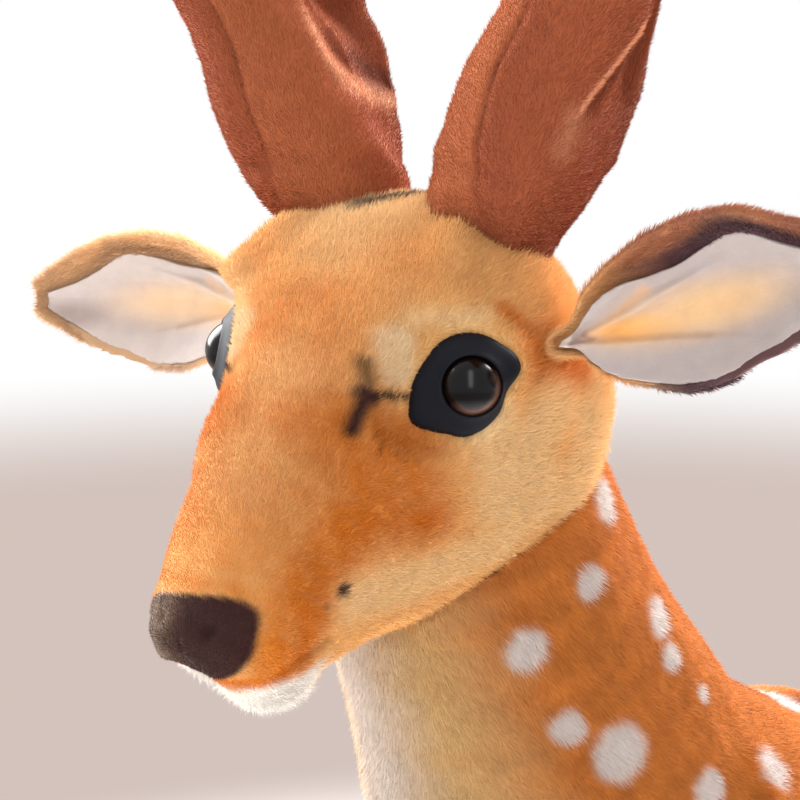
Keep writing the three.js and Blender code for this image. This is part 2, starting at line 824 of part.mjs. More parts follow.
const eyeDirection = point(
  Math.cos(radians(eyeForward)) * Math.cos(radians(eyeRise)),
  -Math.sin(radians(eyeForward)) * Math.cos(radians(eyeRise)),
  Math.sin(radians(eyeRise)),
);
const eyeball = ball(eyeballRadius, eyeSides);
const eyeSeatHeight = eyeSeatShare * lidThickness;
const shankEnd = point(0, 0, -shankLength);
const washerFace = -shankLength + washerThickness * 2;
const washerAt = (radius, gap) => rod(
  radius,
  point(0, 0, washerFace - washerThickness - gap),
  point(0, 0, washerFace + gap),
  eyeSides,
);
const behindDome = solidOf(moved(
  new THREE.BoxGeometry(4 * eyeballRadius, 4 * eyeballRadius, 4 * eyeballRadius),
  new THREE.Matrix4().makeTranslation(0, 0, eyeSeatHeight - 2 * eyeballRadius),
));
const eyeSolid = solidOf(eyeball).subtract(behindDome)
  .add(solidOf(rod(shankRadius, shankEnd, point(0, 0, eyeSeatHeight + overrun), shankSides)));
const eyeSeat = solidOf(ball(eyeballRadius + clearance, eyeSides))
  .subtract(behindDome.translate([0, 0, -clearance]));
const shankBore = solidOf(rod(
  shankRadius + clearance,
  point(0, 0, -shankLength - clearance),
  point(0, 0, lidThickness + overrun),
  shankSides,
));
const lidSolid = solidOf(lidForm()).subtract(eyeSeat).subtract(shankBore);
const washerSolid = solidOf(washerAt(washerRadius, 0)).subtract(shankBore);
const eyePocket = solidOf(lidPocket()).add(shankBore)
  .add(solidOf(washerAt(washerRadius + clearance, clearance)));

[['left', 1], ['right', -1]].forEach(([label, side], which) => {
  const antler = stand(new THREE.Group(), side, antlerPlace, zAxis, yAxis);
  antler.name = `antler_${label}_lean`;
  antler.add(part(`antler_${label}`, mirrored(antlerSolid, side), antlerPlush()));
  headCuts.push(solidOf(moved(antlerSeat(seatClearance), antler.matrix)));

  const ear = stand(new THREE.Group(), side, earPlace, earPoses[which].hinge, earPoses[which].back);
  ear.name = `ear_${label}_fold`;
  ear.add(part(`ear_${label}_fur`, mirrored(geometryOf(earFurSolid), side), tanPlush()));
  ear.add(part(`ear_${label}_lining`, mirrored(geometryOf(earLiningSolid), side), paleVelour()));
  headCuts.push(solidOf(moved(ball(earRootRadius + seatClearance), ear.matrix)));

  const eye = stand(new THREE.Group(), side, eyePlace, eyeDirection, zAxis);
  eye.name = `eye_${label}`;
  eye.add(part(`eyelid_${label}`, mirrored(geometryOf(lidSolid), side), lidPlastic()));
  eye.add(part(`eyeball_${label}`, mirrored(geometryOf(eyeSolid), side), eyePlastic()));
  eye.add(part(`eye_washer_${label}`, mirrored(geometryOf(washerSolid), side), clearNylon()));
  headCuts.push(solidOf(moved(mirrored(geometryOf(eyePocket), side), eye.matrix)));
  head.add(antler, ear, eye);
});

const headSolid = headCuts.reduce((body, cut) => body.subtract(cut), solidOf(headForm(0)));
head.add(part('head', geometryOf(headSolid), tanPlush()));

// The origin is under the middle of the whole deer, on the floor
deer.updateMatrixWorld(true);
const bounds = new THREE.Box3().setFromObject(deer, true);
const middle = bounds.getCenter(point(0, 0, 0));
deer.position.set(-middle.x, -middle.y, 0);
deer.updateMatrixWorld(true);

export default deer;
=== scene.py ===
"""Looks of a standing plush deer: pile, airbrushed markings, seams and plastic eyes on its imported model."""

from __future__ import annotations

import json
import logging
import math
from collections.abc import Callable, Sequence
from dataclasses import dataclass
from enum import Enum

import bmesh
import bpy
import numpy as np
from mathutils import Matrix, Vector


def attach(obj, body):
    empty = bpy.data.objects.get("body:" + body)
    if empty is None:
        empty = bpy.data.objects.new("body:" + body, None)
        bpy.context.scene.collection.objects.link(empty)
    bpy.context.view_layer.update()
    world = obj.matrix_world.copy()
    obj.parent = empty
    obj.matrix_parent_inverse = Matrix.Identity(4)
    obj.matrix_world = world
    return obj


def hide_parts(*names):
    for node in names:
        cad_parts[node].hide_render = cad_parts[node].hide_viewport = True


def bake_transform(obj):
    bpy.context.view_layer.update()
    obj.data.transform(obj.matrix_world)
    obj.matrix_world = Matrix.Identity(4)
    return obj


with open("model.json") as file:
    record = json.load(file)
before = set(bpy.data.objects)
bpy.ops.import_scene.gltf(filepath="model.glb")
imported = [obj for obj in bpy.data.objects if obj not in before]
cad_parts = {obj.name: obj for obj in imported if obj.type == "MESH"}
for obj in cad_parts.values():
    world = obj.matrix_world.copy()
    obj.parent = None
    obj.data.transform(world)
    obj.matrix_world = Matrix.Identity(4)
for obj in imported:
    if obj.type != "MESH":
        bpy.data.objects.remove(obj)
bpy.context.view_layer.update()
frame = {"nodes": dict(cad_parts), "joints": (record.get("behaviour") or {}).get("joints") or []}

log = logging.getLogger("plush_deer")
logging.basicConfig(level=logging.INFO, format="%(name)s: %(message)s")

MM = 0.001
PHOTO_SIDE = 800
Points = np.ndarray
Colour = tuple[float, float, float]
Setting = dict[str, object]


def paint(red: int, green: int, blue: int) -> Colour:
    """Turns a display colour of 0 to 255 into the linear colour that a shader takes.

    Args:
        red: Red of the display colour.
        green: Green of the display colour.
        blue: Blue of the display colour.

    Returns:
        The linear colour.
    """
    shares = [v / 255 for v in (red, green, blue)]
    return tuple(v / 12.92 if v <= 0.04045 else ((v + 0.055) / 1.055) ** 2.4 for v in shares)


def joint_place(name: str) -> Points:
    """Finds a joint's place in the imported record.

    Args:
        name: The joint's name.

    Returns:
        Its place in millimetres.
    """
    found = next(joint for joint in frame["joints"] if joint["name"] == name)
    return np.array(found["pos_m"]) / MM


def unit(vectors: Points) -> Points:
    """Scales vectors to length one, whatever their number."""
    return vectors / np.maximum(np.linalg.norm(vectors, axis=-1, keepdims=True), 1e-9)


def soft(distance: Points, edge: float, blur: float) -> Points:
    """Fades from 1 inside an edge to 0 outside it.

    Args:
        distance: Distances of the points.
        edge: The distance at which the share is one half.
        blur: Half the width of the fade.

    Returns:
        Shares from 0 to 1.
    """
    share = np.clip((edge + blur - distance) / (2 * blur), 0, 1)
    return share * share * (3 - 2 * share)


def through(rows: Sequence[Sequence[float]], at: Points) -> Points:
    """Draws a smooth curve through rows of numbers, each led by its own place.

    Args:
        rows: Rows of a place and the values there.
        at: The places that are asked for.

    Returns:
        One row of values for each place.
    """
    table = np.array(rows, float)
    place, values = table[:, 0], table[:, 1:]
    slopes = np.gradient(values, place, axis=0)
    k = np.clip(np.searchsorted(place, at, side="right") - 1, 0, len(place) - 2)
    span = (place[k + 1] - place[k])[:, None]
    t = np.clip((at - place[k])[:, None] / span, 0, 1)
    start, end = values[k], values[k + 1]
    bend = (1 - t) ** 2 * t * span * slopes[k] - t**2 * (1 - t) * span * slopes[k + 1]
    return start * (1 + 2 * t) * (1 - t) ** 2 + end * t**2 * (3 - 2 * t) + bend


def to_stroke(points: Points, path: Sequence[Sequence[float]]) -> Points:
    """Measures how far points are from a stroke made of straight stretches.

    Args:
        points: Points in millimetres.
        path: The stroke's corners.

    Returns:
        The distances.
    """
    corners = np.array(path, float)
    nearest = np.full(len(points), np.inf)
    for start, end in zip(corners[:-1], corners[1:]):
        run = end - start
        share = np.clip((points - start) @ run / (run @ run), 0, 1)
        nearest = np.minimum(nearest, np.linalg.norm(points - start - share[:, None] * run, axis=1))
    return nearest


@dataclass(frozen=True)
class Axes:
    """A place in the row frame with three directions of its own.

    Attributes:
        place: The place in millimetres.
        turn: The matrix whose columns are the directions.
    """

    place: Points
    turn: Points

    def out(self, own: Points) -> Points:
        """Takes points of these axes to the row frame."""
        return own @ self.turn.T + self.place

    def into(self, points: Points) -> Points:
        """Takes points of the row frame to these axes."""
        return (points - self.place) @ self.turn


HEAD_TURN = 20.0
HEAD_FORWARD = 11.0
HEAD_PITCH = math.radians(41.0)
HEAD_LENGTH = 181.0
HEAD_WIDTH = 112.0
HEAD_DEPTH = 110.0
FACE = np.array([0, -math.cos(HEAD_PITCH), -math.sin(HEAD_PITCH)])
BROW = np.array([0, -math.sin(HEAD_PITCH), math.cos(HEAD_PITCH)])
SIDEWAYS = np.array([1.0, 0, 0])
BACKWARDS = np.array([0, 1.0, 0])
UP = np.array([0, 0, 1.0])
LEGS = tuple(f"{which}leg_{side}" for which in ("fore", "hind") for side in ("left", "right"))


def head_axes() -> Axes:
    """Finds the middle of the head and its own axes: x to its left, y to its back and z up."""
    c, s = math.cos(math.radians(HEAD_TURN)), math.sin(math.radians(HEAD_TURN))
    turn = np.array([[c, -s, 0], [s, c, 0], [0, 0, 1]])
    return Axes(joint_place("head_turn") + turn @ np.array([0, -HEAD_FORWARD, 0]), turn)


HEAD = head_axes()


@dataclass(frozen=True)
class Mount:
    """A place on the head with axes of its own, given for its left side and mirrored on its right.

    Attributes:
        spot: Shares of the head's length down the face, its depth towards the brow and its width.
        axes: The matrix whose columns are the directions, in the head's axes.
        side: 1 on the left and -1 on the right.
    """

    spot: tuple[float, float, float]
    axes: Points
    side: int

    @property
    def place(self) -> Points:
        """The place in the head's axes, as on the left."""
        along, out, across = self.spot
        place = along * HEAD_LENGTH * FACE + out * HEAD_DEPTH * BROW
        place[0] = across * HEAD_WIDTH
        return place

    def out(self, own: Points) -> Points:
        """Takes points of the mount to the row frame."""
        return HEAD.out((own @ self.axes.T + self.place) * (self.side, 1, 1))

    def into(self, points: Points) -> Points:
        """Takes points of the row frame to the mount."""
        return (HEAD.into(points) * (self.side, 1, 1) - self.place) @ self.axes

    def heading(self, own: Points) -> Points:
        """Takes a direction of the mount to the row frame."""
        return HEAD.turn @ ((self.axes @ own) * (self.side, 1, 1))


def pointing(turn: float, rise: float) -> Points:
    """Finds a direction by its degrees from the deer's left towards its back and its degrees upwards."""
    turn, rise = math.radians(turn), math.radians(rise)
    return np.array([math.cos(turn) * math.cos(rise), math.sin(turn) * math.cos(rise), math.sin(rise)])


def named(side: int) -> str:
    """Names a side of the deer."""
    return "left" if side > 0 else "right"


class Wire:
    """A socket of a node tree that Python's own operators work on."""

    def __init__(self, board: Board, socket: bpy.types.NodeSocket) -> None:
        """Keeps the socket and the board that it is on."""
        self.board = board
        self.socket = socket

    def _math(self, operation: str, first: object, second: object) -> Wire:
        """Adds a Math node for one operator."""
        return self.board.add("ShaderNodeMath", {"operation": operation}, first, second)

    def __add__(self, other: object) -> Wire:
        """Adds a value or wire."""
        return self._math("ADD", self, other)

    def __sub__(self, other: object) -> Wire:
        """Subtracts a value or wire."""
        return self._math("SUBTRACT", self, other)

    def __mul__(self, other: object) -> Wire:
        """Multiplies by a value or wire."""
        return self._math("MULTIPLY", self, other)

    def __gt__(self, other: object) -> Wire:
        """Is 1 where it is greater."""
        return self._math("GREATER_THAN", self, other)

    def __lt__(self, other: object) -> Wire:
        """Is 1 where it is less."""
        return self._math("LESS_THAN", self, other)


class Board:
    """Adds nodes to a tree, for materials and for pile alike."""

    def __init__(self, tree: bpy.types.NodeTree) -> None:
        """Keeps the tree."""
        self.tree = tree

    def add(
        self,
        kind: str,
        settings: Setting | None = None,
        *values: object,
        out: int | str = 0,
        **named: object,
    ) -> Wire:
        """Adds one node, sets it up and joins its sockets.

        Args:
            kind: The node's type.
            settings: Its own settings, set before its sockets; stops are those of a ramp.
            *values: Values or wires of its first sockets; None leaves one alone.
            out: The output that is returned, by place or name.
            **named: Values or wires by socket name, with _ for a space.

        Returns:
            The wire of the asked output.
        """
        node = self.tree.nodes.new(kind)
        for key, value in (settings or {}).items():
            if key == "stops":
                ramp = node.color_ramp
                while len(ramp.elements) < len(value):
                    ramp.elements.new(0.5)
                for element, (place, colour) in zip(ramp.elements, value):
                    element.position = place
                    element.color = (*colour, 1)
            else:
                setattr(node, key, value)
        sockets = list(enumerate(values)) + [(k.replace("_", " "), v) for k, v in named.items()]
        for key, value in sockets:
            if value is not None:
                self.join(node.inputs[key], value)
        return Wire(self, node.outputs[out]) if len(node.outputs) else Wire(self, node.inputs[0])

    def join(self, socket: bpy.types.NodeSocket, value: object) -> None:
        """Links a wire to a socket or writes a value into it."""
        if isinstance(value, Wire):
            self.tree.links.new(value.socket, socket)
        elif isinstance(value, tuple) and socket.type == "RGBA":
            socket.default_value = (*value, 1)
        else:
            socket.default_value = value

    def blend(self, share: object, first: object, second: object, mode: str = "MIX") -> Wire:
        """Mixes two colours by a share from 0 to 1.

        Args:
            share: The share of the second colour.
            first: The first colour.
            second: The second colour.
            mode: How the second is laid on the first.

        Returns:
            The wire of the mixed colour.
        """
        settings = {"data_type": "RGBA", "blend_type": mode}
        node = self.add("ShaderNodeMix", settings, share, out=2)
        self.join(node.socket.node.inputs[6], first)
        self.join(node.socket.node.inputs[7], second)
        return node

    def shaded(self, colour: Wire, level: Wire) -> Wire:
        """Darkens a colour by one level from 0 to 1."""
        grey = self.add("ShaderNodeCombineColor", None, level, level, level)
        return self.blend(1.0, colour, grey, "MULTIPLY")

    def noise(self, scale: float, detail: float, roughness: float = 0.5) -> Wire:
        """Adds soft noise on the piece's own place.

        Args:
            scale: Grains per metre.
            detail: Finer layers of it.
            roughness: How strong the finer layers are.

        Returns:
            The wire of the noise from 0 to 1.
        """
        where = self.add("ShaderNodeTexCoord", out="Object")
        return self.add("ShaderNodeTexNoise", None, where, Scale=scale, Detail=detail, Roughness=roughness)

    def mark(self, name: str) -> Wire:
        """Reads one of the piece's own attributes."""
        return self.add("ShaderNodeAttribute", {"attribute_name": name}, out="Fac")


class DyeAndPaintedLight(Enum):
    """The marks that are dyed or airbrushed into the pile, and the light and shade painted into it the same way, each
    an attribute from 0 to 1.
    """

    RUST = "rust"
    PALE = "pale"
    WHITE = "white"
    DARK = "dark"


def blank_material(name: str) -> tuple[bpy.types.Material, Board]:
    """Makes an empty material.

    Args:
        name: Its name.

    Returns:
        The material and the board of its nodes.
    """
    material = bpy.data.materials.new(name)
    material.use_nodes = True
    material.node_tree.nodes.clear()
    return material, Board(material.node_tree)


@dataclass(frozen=True)
class PlushFinish:
    """Dyed pile fabric: a ground colour, its marks with painted light and shade among them, painted shade at the
    fibres' roots and single lighter fibres.

    Attributes:
        name: The material's name.
        ground: The fabric's own colour.
        rust: Deeper airbrushed shading; on the antler the colour of its painted lit side, on the ear's lining its warm
            glow.
        pale: Lighter airbrushed shading, also used for painted highlights.
        white: Undyed spots.
        dark: Dark airbrushed marks, also used for painted shade.
        root: How dark the fibres are painted at their roots, as a share: painted shade for the pile's depth.
        sheen: How much the fibre tips catch the light.
        nap: Height in metres of the grain of a short pile that has no fibres of its own.
        speckle: How much single fibres differ in tone.
    """

    name: str
    ground: Colour
    rust: Colour
    pale: Colour
    white: Colour = paint(236, 230, 222)
    dark: Colour = paint(62, 42, 44)
    root: float = 0.84
    sheen: float = 0.16
    nap: float = 0.0
    speckle: float = 0.18

    def make(self) -> bpy.types.Material:
        """Makes the material.

        Returns:
            The material, which reads the marks, the tone and the tip share of its piece.
        """
        material, board = blank_material(self.name)
        coat = self.ground
        for tint, colour in zip(DyeAndPaintedLight, (self.rust, self.pale, self.white, self.dark)):
            coat = board.blend(board.mark(tint.value), coat, colour)
        tone = board.mark("tone") * self.speckle + board.noise(160, 3) * 0.2 + (0.92 - self.speckle / 2)
        # Painted shade: each fibre is painted darker towards its root, where the pile shades itself.
        depth = board.mark("tip") * (1 - self.root) + self.root
        coat = board.shaded(coat, tone * depth)
        normal = None
        if self.nap:
            normal = board.add("ShaderNodeBump", None, 0.7, self.nap, Height=board.noise(2600, 2, roughness=0.7))
        shader = board.add(
            "ShaderNodeBsdfPrincipled",
            None,
            coat,
            Roughness=0.9,
            Sheen_Weight=self.sheen,
            Sheen_Roughness=0.35,
            Specular_IOR_Level=0.1,
            Normal=normal,
        )
        board.add("ShaderNodeOutputMaterial", None, shader)
        return material


@dataclass(frozen=True)
class PlainFinish:
    """A smooth finish with a little grain: moulded plastic, nylon or wire.

    Attributes:
        name: The material's name.
        colour: Its colour.
        worn: The colour of its lighter or darker patches.
        roughness: How matte it is.
        metallic: 1 for metal.
        grain: Grains per metre of its surface.
        height: Height of the grain in metres.
        shine: How much of its surroundings it mirrors.
    """

    name: str
    colour: Colour
    worn: Colour
    roughness: float = 0.5
    metallic: float = 0.0
    grain: float = 2500.0
    height: float = 0.00004
    shine: float = 0.5

    def make(self) -> bpy.types.Material:
        """Makes the material.

        Returns:
            The material.
        """
        material, board = blank_material(self.name)
        patches = board.noise(60, 4)
        colour = board.blend(patches, self.colour, self.worn)
        grain = board.noise(self.grain, 4)
        normal = board.add("ShaderNodeBump", None, 0.6, self.height, Height=grain)
        shader = board.add(
            "ShaderNodeBsdfPrincipled",
            None,
            colour,
            Metallic=self.metallic,
            Roughness=grain * 0.2 + (self.roughness - 0.1),
            Normal=normal,
            Specular_IOR_Level=self.shine,
        )
        board.add("ShaderNodeOutputMaterial", None, shader)
        return material


def vectors(rows: bpy.types.bpy_prop_collection, key: str) -> Points:
    """Reads one vector from each row of a mesh's own data.

    Args:
        rows: The vertices, the normals or an attribute's values.
        key: What is read of each row.

    Returns:
        One row of three numbers for each.
    """
    flat = np.empty(len(rows) * 3, np.float32)
    rows.foreach_get(key, flat)
    return flat.reshape(-1, 3).astype(float)


def places(mesh: bpy.types.Mesh) -> Points:
    """Reads a mesh's vertices in millimetres."""
    return vectors(mesh.vertices, "co") / MM


def outward(mesh: bpy.types.Mesh) -> Points:
    """Reads the directions out of a mesh's surface at its vertices."""
    return vectors(mesh.vertex_normals, "vector")


def set_places(mesh: bpy.types.Mesh, points: Points) -> None:
    """Writes a mesh's vertices from millimetres."""
    mesh.vertices.foreach_set("co", (points * MM).astype(np.float32).ravel())
    mesh.update()


def write_attribute(mesh: bpy.types.Mesh, name: str, values: Points) -> None:
    """Stores numbers or vectors at a mesh's vertices.

    Args:
        mesh: The mesh.
        name: The attribute's name.
        values: One number or vector for each vertex.
    """
    vector = values.ndim == 2
    kind = "FLOAT_VECTOR" if vector else "FLOAT"
    attribute = mesh.attributes.get(name) or mesh.attributes.new(name, kind, "POINT")
    attribute.data.foreach_set("vector" if vector else "value", values.astype(np.float32).ravel())


def as_object(name: str, mesh: bpy.types.Mesh) -> bpy.types.Object:
    """Puts a mesh into the scene as an object at the origin."""
    piece = bpy.data.objects.new(name, mesh)
    bpy.context.scene.collection.objects.link(piece)
    return piece


def from_bmesh(name: str, shape: bmesh.types.BMesh) -> bpy.types.Object:
    """Turns a bmesh into an object with smooth faces and frees it."""
    mesh = bpy.data.meshes.new(name)
    shape.to_mesh(mesh)
    shape.free()
    mesh.shade_smooth()
    return as_object(name, mesh)


def bake_modifiers(piece: bpy.types.Object) -> bpy.types.Object:
    """Turns a piece's modifiers into its own mesh and removes them.

    Args:
        piece: The piece.

    Returns:
        The same piece.
    """
    bpy.context.view_layer.update()
    graph = bpy.context.evaluated_depsgraph_get()
    shaped = bpy.data.meshes.new_from_object(
        piece.evaluated_get(graph), preserve_all_data_layers=True, depsgraph=graph
    )
    piece.modifiers.clear()
    old, piece.data = piece.data, shaped
    shaped.name = piece.name
    bpy.data.meshes.remove(old)
    return piece


def closed_up(piece: bpy.types.Object) -> bpy.types.Object:
    """Sews the meeting edges of a piece together and turns its faces outwards.

    Args:
        piece: The piece.

    Returns:
        The same piece.
    """
    shape = bmesh.new()
    shape.from_mesh(piece.data)
    bmesh.ops.remove_doubles(shape, verts=shape.verts, dist=0.01 * MM)
    bmesh.ops.recalc_face_normals(shape, faces=shape.faces)
    shape.to_mesh(piece.data)
    shape.free()
    return piece


def sewn_skin(name: str, nodes: Sequence[str], voxel: float, swell: float, smoothing: int) -> bpy.types.Object:
    """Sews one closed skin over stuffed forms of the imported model.

    Args:
        name: The new piece's name.
        nodes: The forms that it covers.
        voxel: The size of its facets in millimetres.
        swell: Millimetres by which each form is let out first, so that neighbours meet.
        smoothing: Rounds of smoothing.

    Returns:
        The skin.
    """
    shape = bmesh.new()
    for node in nodes:
        one = bmesh.new()
        one.from_mesh(frame["nodes"][node].data)
        bmesh.ops.remove_doubles(one, verts=one.verts, dist=1e-6)
        bmesh.ops.recalc_face_normals(one, faces=one.faces)
        one.normal_update()
        for vert in one.verts:
            vert.co += vert.normal * swell * MM
        copy = bpy.data.meshes.new("form")
        one.to_mesh(copy)
        one.free()
        shape.from_mesh(copy)
        bpy.data.meshes.remove(copy)
    skin = from_bmesh(name, shape)
    remesh = skin.modifiers.new("skin", "REMESH")
    remesh.mode = "VOXEL"
    remesh.voxel_size = voxel * MM
    relax = skin.modifiers.new("relax", "SMOOTH")
    relax.factor = 0.5
    relax.iterations = smoothing
    bake_modifiers(skin)
    skin.data.shade_smooth()
    return skin


def relaxed(piece: bpy.types.Object, rounds: int, share: Points | None = None) -> bpy.types.Object:
    """Smooths a piece's surface.

    Args:
        piece: The piece.
        rounds: Rounds of smoothing.
        share: How much each vertex takes part, or None for all in full.

    Returns:
        The same piece.
    """
    relax = piece.modifiers.new("relax", "SMOOTH")
    relax.factor = 0.5
    relax.iterations = rounds
    if share is not None:
        group = piece.vertex_groups.new(name="part")
        for vertex in np.flatnonzero(share > 0.02):
            group.add([int(vertex)], float(share[vertex]), "REPLACE")
        relax.vertex_group = group.name
    bake_modifiers(piece)
    piece.vertex_groups.clear()
    return piece


@dataclass(frozen=True)
class Push:
    """One push of the maker's thumb into a stuffed form, or a pinch of stuffing that lifts it.

    Attributes:
        place: Its middle in the form's own frame, in millimetres.
        reach: How far it is felt.
        lift: Millimetres out of the form, or into it if negative.
        paired: Whether it is made on both sides.
    """

    place: tuple[float, float, float]
    reach: float
    lift: float
    paired: bool = True

    def at(self, points: Points) -> Points:
        """Works out how far each point is lifted.

        Args:
            points: Points in the form's own frame.

        Returns:
            The lift of each point in millimetres.
        """
        total = np.zeros(len(points))
        for side in (1, -1) if self.paired and self.place[0] else (1,):
            spot = np.array(self.place) * (side, 1, 1)
            away = np.linalg.norm(points - spot, axis=1) / self.reach
            total += self.lift * np.exp(-2 * away**2)
        return total


@dataclass(frozen=True)
class Pile:
    """Pile that grows from a skin: thin tapered fibres, combed one way.

    Attributes:
        spacing: Millimetres between neighbours.
        width: Width of a fibre at its root in millimetres.
        lean: How far the fibres lie down, from 0 to 1.
        stray: How far single fibres stray.
        wave: How far tufts of fibres stray together.
        tuft: Tufts per metre.
    """

    spacing: float = 0.6
    width: float = 0.4
    lean: float = 0.55
    stray: float = 0.22
    wave: float = 0.3
    tuft: float = 240.0

    def fibre(self) -> bpy.types.Object:
        """Models the one fibre that is repeated: a spike of three sides, one unit high.

        Returns:
            The fibre, with the share of its height as the attribute tip.
        """
        shape = bmesh.new()
        bmesh.ops.create_cone(
            shape, cap_ends=False, segments=3, radius1=0.5, radius2=0.0, depth=1.0
        )
        bmesh.ops.remove_doubles(shape, verts=shape.verts, dist=1e-4)
        bmesh.ops.translate(shape, verts=shape.verts, vec=(0, 0, 0.5))
        own = shape.loops.layers.uv.new("OFBake")
        for face in shape.faces:
            for loop in face.loops:
                x, y, z = loop.vert.co
                loop[own].uv = (0.5 + 0.75 * x, 0.12 + 0.3 * (y + 0.5) + 0.5 * z)
        fibre = from_bmesh("fibre", shape)
        fibre.data.shade_flat()
        write_attribute(fibre.data, "tip", places(fibre.data)[:, 2] * MM)
        return fibre

    def grow(
        self, name: str, skin: bpy.types.Object, fibre: bpy.types.Object, seed: int, band: Band
    ) -> bpy.types.Object:
        """Grows the pile on a skin whose attributes grow, pile and comb say where, how long and which way.

        Args:
            name: The new piece's name.
            skin: The skin.
            fibre: The fibre to repeat.
            seed: Seed of the chances.
            band: A direction and the two distances along it, in metres, between which fibres grow.

        Returns:
            The piece, with the root of each fibre as an attribute.
        """
        tree = bpy.data.node_groups.new(name, "GeometryNodeTree")
        tree.interface.new_socket("Skin", in_out="INPUT", socket_type="NodeSocketGeometry")
        tree.interface.new_socket("Pile", in_out="OUTPUT", socket_type="NodeSocketGeometry")
        board = Board(tree)
        fabric = board.add("NodeGroupInput")

        def own(attribute: str, kind: str) -> Wire:
            """Reads an attribute of the skin."""
            return board.add("GeometryNodeInputNamedAttribute", {"data_type": kind}, attribute)

        def vector(operation: str, first: object, second: object) -> Wire:
            """Adds a Vector Math node."""
            return board.add("ShaderNodeVectorMath", {"operation": operation}, first, second)

        def scaled(first: object, share: object) -> Wire:
            """Scales a vector."""
            return board.add("ShaderNodeVectorMath", {"operation": "SCALE"}, first, Scale=share)

        spread = board.add(
            "GeometryNodeDistributePointsOnFaces",
            {"distribute_method": "POISSON"},
            fabric,
            Distance_Min=self.spacing * MM,
            Density_Max=1.6 / (self.spacing * MM) ** 2,
            Density_Factor=own("grow", "FLOAT"),
            Seed=seed,
        )
        scatter = spread.socket.node
        position = board.add("GeometryNodeInputPosition")
        chance = {"data_type": "FLOAT"}
        tone = board.add("FunctionNodeRandomValue", chance, Seed=seed + 1, out=1)
        tagged = spread
        for kind, tag, value in (("FLOAT_VECTOR", "root", position), ("FLOAT", "tone", tone)):
            settings = {"data_type": kind, "domain": "POINT"}
            tagged = board.add("GeometryNodeStoreNamedAttribute", settings, tagged, None, tag, value)
        waves = board.add("ShaderNodeTexNoise", None, position, Scale=self.tuft, Detail=2.0, out="Color")
        stray = board.add("FunctionNodeRandomValue", {"data_type": "FLOAT_VECTOR"},
                          (-1.0, -1.0, -1.0), (1.0, 1.0, 1.0), Seed=seed + 2)
        heading = vector("ADD", scaled(Wire(board, scatter.outputs["Normal"]), 1 - self.lean),
                         scaled(own("comb", "FLOAT_VECTOR"), self.lean))
        heading = vector("ADD", heading, scaled(vector("SUBTRACT", waves, (0.5, 0.5, 0.5)), 2 * self.wave))
        heading = vector("ADD", heading, scaled(stray, self.stray))
        turned = board.add("FunctionNodeAlignRotationToVector", {"axis": "Z"}, Vector=heading)
        uneven = board.add("FunctionNodeRandomValue", chance, Seed=seed + 3, out=1) * 0.5 + 0.75
        length = own("pile", "FLOAT") * uneven
        size = board.add("ShaderNodeCombineXYZ", None, self.width * MM, self.width * MM, length)
        direction, low, high = band
        share = board.add(
            "ShaderNodeVectorMath", {"operation": "DOT_PRODUCT"}, position, tuple(direction), out="Value"
        )
        chosen = (share > low) * (share < high)
        shown = board.add("GeometryNodeObjectInfo", None, fibre, out="Geometry")
        repeated = board.add("GeometryNodeInstanceOnPoints", None, tagged, chosen, shown,
                             Rotation=turned, Scale=size)
        real = board.add("GeometryNodeRealizeInstances", None, repeated)
        board.add("NodeGroupOutput", None, real)
        piece = as_object(name, skin.data.copy())
        piece.modifiers.new("pile", "NODES").node_group = tree
        bake_modifiers(piece)
        self.lay_out(piece, len(fibre.data.loops))
        for spare in COMBED:
            if spare in piece.data.attributes:
                piece.data.attributes.remove(piece.data.attributes[spare])
        piece.data.materials.clear()
        return piece

    def lay_out(self, piece: bpy.types.Object, corners: int) -> None:
        """Gives each fibre a small cell of its own on the piece's map.

        Args:
            piece: The piece of pile.
            corners: Face corners of one fibre.
        """
        mesh = piece.data
        count = len(mesh.loops) // corners
        across = math.ceil(math.sqrt(count))
        layer = mesh.uv_layers["OFBake"]
        flat = np.empty(len(mesh.loops) * 2, np.float32)
        layer.uv.foreach_get("vector", flat)
        cells = np.stack([np.arange(count) % across, np.arange(count) // across], axis=1)
        own = flat.reshape(count, corners, 2) * 0.8 + 0.1
        layer.uv.foreach_set("vector", ((own + cells[:, None, :]) / across).astype(np.float32).ravel())


Marker = Callable[[Points], dict[DyeAndPaintedLight, Points]]
Band = tuple[Points, float, float]
FIRST_SEED = 7
# Painted shade: the skin is as dark as a fibre a third of the way up from its root.
SKIN_TIP = 0.35
SKIN_TONE = 0.5
COMBED = ("grow", "pile", "comb")
FAR = 1.0


def mark_piece(piece: bpy.types.Object, marker: Marker, fibres: bool) -> None:
    """Writes the dyed marks of a skin or of its pile, with the painted light and shade among them.

    Args:
        piece: The skin or the pile.
        marker: What works out the marks from places in the row frame.
        fibres: Whether the piece is pile, marked by the roots of its fibres.
    """
    mesh = piece.data
    where = vectors(mesh.attributes["root"].data, "vector") / MM if fibres else places(mesh)
    for tint, share in marker(where).items():
        write_attribute(mesh, tint.value, np.clip(share, 0, 1))
    if not fibres:
        write_attribute(mesh, "tip", np.full(len(mesh.vertices), SKIN_TIP))
        write_attribute(mesh, "tone", np.full(len(mesh.vertices), SKIN_TONE))


def finish_piece(piece: bpy.types.Object, material: bpy.types.Material) -> None:
    """Gives a piece its material."""
    piece.data.materials.clear()
    piece.data.materials.append(material)


